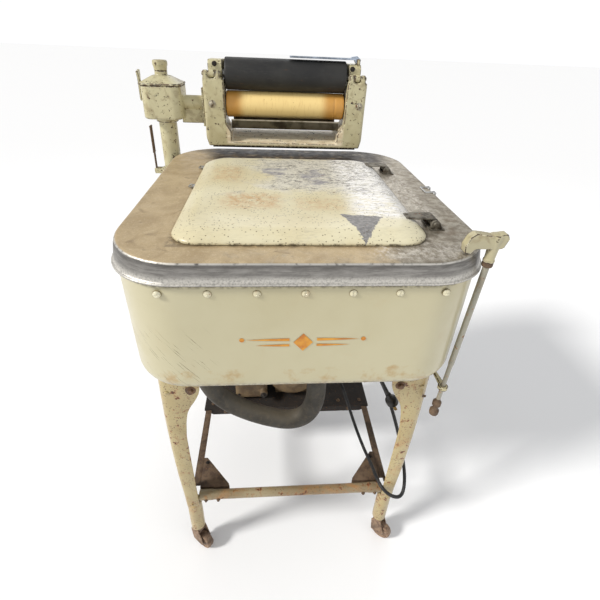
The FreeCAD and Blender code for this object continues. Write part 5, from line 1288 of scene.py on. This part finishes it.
def make_wringer():
    """The wringer's castings, its tray, its bolts and its release bar."""
    casting("wringer_frame", "trough", "wringer", 1.7, 16,
            wedge=(-143, 262, [(236, 897), (306, 917), (330, 917), (330, 931), (236, 931)]))
    casting("top_frame", "cast", "wringer_top", 1.2, 8)
    board, lips = bmesh.new(), bmesh.new()
    section = [(-35, 17), (-34, 5), (-31, -1.5), (-25, -3), (26, -3), (32, -1), (35, 5), (36, 20), (34.6, 20),
               (33.6, 6), (31, 0.6), (26, -1.2), (-25, -1.2), (-29.6, 0.2), (-32.4, 5), (-33.4, 17)]
    plate(board, [(ROLL_Y + y, TRAY_Z + z) for y, z in section], TRAY_RIGHT - TRAY_LEFT, (TRAY_LEFT, 0, 0),
          "X", bevel=0.4)
    for y, z in ((-34.6, 18), (35.3, 20.4)):
        tube(lips, [(end, ROLL_Y + y, TRAY_Z + z) for end in (TRAY_LEFT, TRAY_RIGHT)], 1.9, 12)
    for end in (TRAY_LEFT, TRAY_RIGHT):
        lathe(lips, [(0, -2), (3.9, -2), (3.9, 2), (0, 2)], (end, ROLL_Y, TRAY_Z), "X", 18)
    show("drain_board_tray", board, "board", "drain_board", ("drain_board",))
    show("drain_board_lips", lips, "board_lip", "drain_board")
    soften("release_lever", "blue_steel", "release_lever", 0.8)
    soften("roll_bearings", "grimed", "wringer", 0.8)
    bolts = bmesh.new()
    for x, z in ((-185, 985), (167, 989)):
        round_screw(bolts, (x, 239.6, z), (0, -1, 0), 6.2, 3.6)
        lathe(bolts, [(0, 0), (8.6, 0), (8.6, 1), (7.4, 1.6), (0, 1.7)], (x, 240.2, z), "-Y", 26)
    show("column_screws", bolts, "screw", "wringer")
    dark, plugs = bmesh.new(), bmesh.new()
    # Painted shade: a dark plate under the wringer frame stands in for the shade it casts on the deck.
    block(dark, (-190, 243, 885.6), (168, 306, 889.4), 1.0)
    for x, z in ((-176, 1069), (146, 1068)):
        lathe(plugs, [(0, -3), (5.6, -3), (5.6, 0.4), (4.4, 0.9), (0, 0.9)], (x, 256.2, z), "-Y", 22)
    show("wringer_shade_plate", dark, "dark_rust", "wringer")
    show("wringer_top_plugs", plugs, "dark_rust", "wringer_top")
    pins = bmesh.new()
    for start in (-204.5, 136.5):
        lathe(pins, rounded(mirrored([(0, 0), (3.6, 0), (4.2, 0.8), (4.2, 1.8), (3, 2.2)], 43.2), 0.3, 2),
              (start - 0.5, 247, 1049), "X", 20)
    show("knuckle_pins", pins, "screw", "wringer")


def make_head():
    """Wringer head, its domed cover and oil cap, the post and the levers."""
    for node, body, voxel, passes in (("wringer_head", "wringer", 1.3, 6), ("head_cover", "wringer", 1.2, 6),
                                      ("oil_cap", "wringer", 0.8, 3), ("wringer_post", "washer", 1.4, 3),
                                      ("wringer_control_lever", "wringer_control", 0.8, 4)):
        casting(node, "cast", body, voxel, passes)
    soften("swing_lock_lever", "rust", "swing_lock", 0.3)
    casting("control_handle", "handle", "agitator_control", 0.8, 5)
    casting("guide_clamp_and_hooks", "cast", "washer", 1.0, 4)
    casting("rear_beam", "grimed", "washer", 1.6, 4)
    screws = bmesh.new()
    for x, y in ((-332, 246), (-276, 246), (-332, 314), (-276, 314)):
        round_screw(screws, (x, y, 1025.6), "Z", 4.4, 2.6)
    show("cover_screws", screws, "screw", "wringer")


def make_control_rod():
    """Painted control rod that steps down inside the guide, with its rusty end fitting."""
    pivot, way = (273, -288, 862), (math.sin(math.radians(2.1)), 0, math.cos(math.radians(2.1)))
    mesh = bmesh.new()
    lathe(mesh,
          rounded([(0, -307), (4, -307), (4, -222), (4.4, -218), (5, -214), (5, -10), (0, -10)], 1.5, 3),
          pivot, way, 24)
    show("control_rod_bar", mesh, "rod", "agitator_control", ("control_rod",))
    fitting = bmesh.new()
    lathe(fitting,
          rounded([(0, -344), (6, -344), (8, -342), (8.8, -338), (8.8, -332), (5.2, -329), (5.2, -322),
                   (8, -319), (8, -310), (4.6, -307), (4.2, -302), (0, -302)], 1.0, 3), pivot, way, 24)
    lathe(fitting, rounded([(5, -19), (7.6, -19), (8.2, -17), (8.2, -13), (7.4, -11.2), (5, -11.2)], 0.6, 2),
          pivot, way, 28)
    show("control_rod_end", fitting, "rust", "agitator_control")


# ---------------------------------------------------------------- drive and inside
def make_drive():
    """Motor, gearcase, belt drive, agitator and shafts."""
    soften("motor_housing", "grimed", "washer", 1.2)
    soften("motor_end_bells", "grimed", "washer", 1.2)
    casting("gearcase_housing", "grimed", "washer", 2.2, 5)
    casting("agitator", "alloy", "agitator", 1.8, 5)
    soften("motor_pulley", "rust", "motor_rotor", 0.5)
    soften("gearcase_pulley", "rust", "worm_shaft", 0.5)
    paint("belt", "drive_belt")
    paint("alloy", "tub")
    paint("plated", "motor_rotor", "worm_shaft", "agitator_shaft", "post_shaft", "cross_shaft",
          "transfer_shaft", "upper_roll_shaft", "lower_roll_shaft")
    paint("rust", "worm_wheel", "sector_gear")
    paint("leg", "leg_extensions")
    bolts = bmesh.new()
    for z in (590, 452):
        for x in (-136, -60, 18, 74):
            hex_bolt(bolts, (x, -60, z), "-Y", 5.0, 4.0)
    hex_bolt(bolts, (-68, 12, 252), "-Y", 9.0, 6.0)
    for x, z in ((-138, 240), (-138, 330), (-138, 420), (-68, 330), (-68, 420)):
        hex_bolt(bolts, (x, 26, z), "-Y", 4.4, 3.6)
    show("gearcase_bolts", bolts, "dark_rust")


random.seed(7)
for build in (set_camera, set_studio, make_finishes, make_cords, make_rim, make_casing, make_ornament,
              make_band_screws, make_lid, make_hinges, make_small_fittings, make_legs, make_leg_details,
              make_bars, make_rails, make_platform, make_casters, make_rolls, make_wringer, make_head,
              make_control_rod, make_drive):
    build()
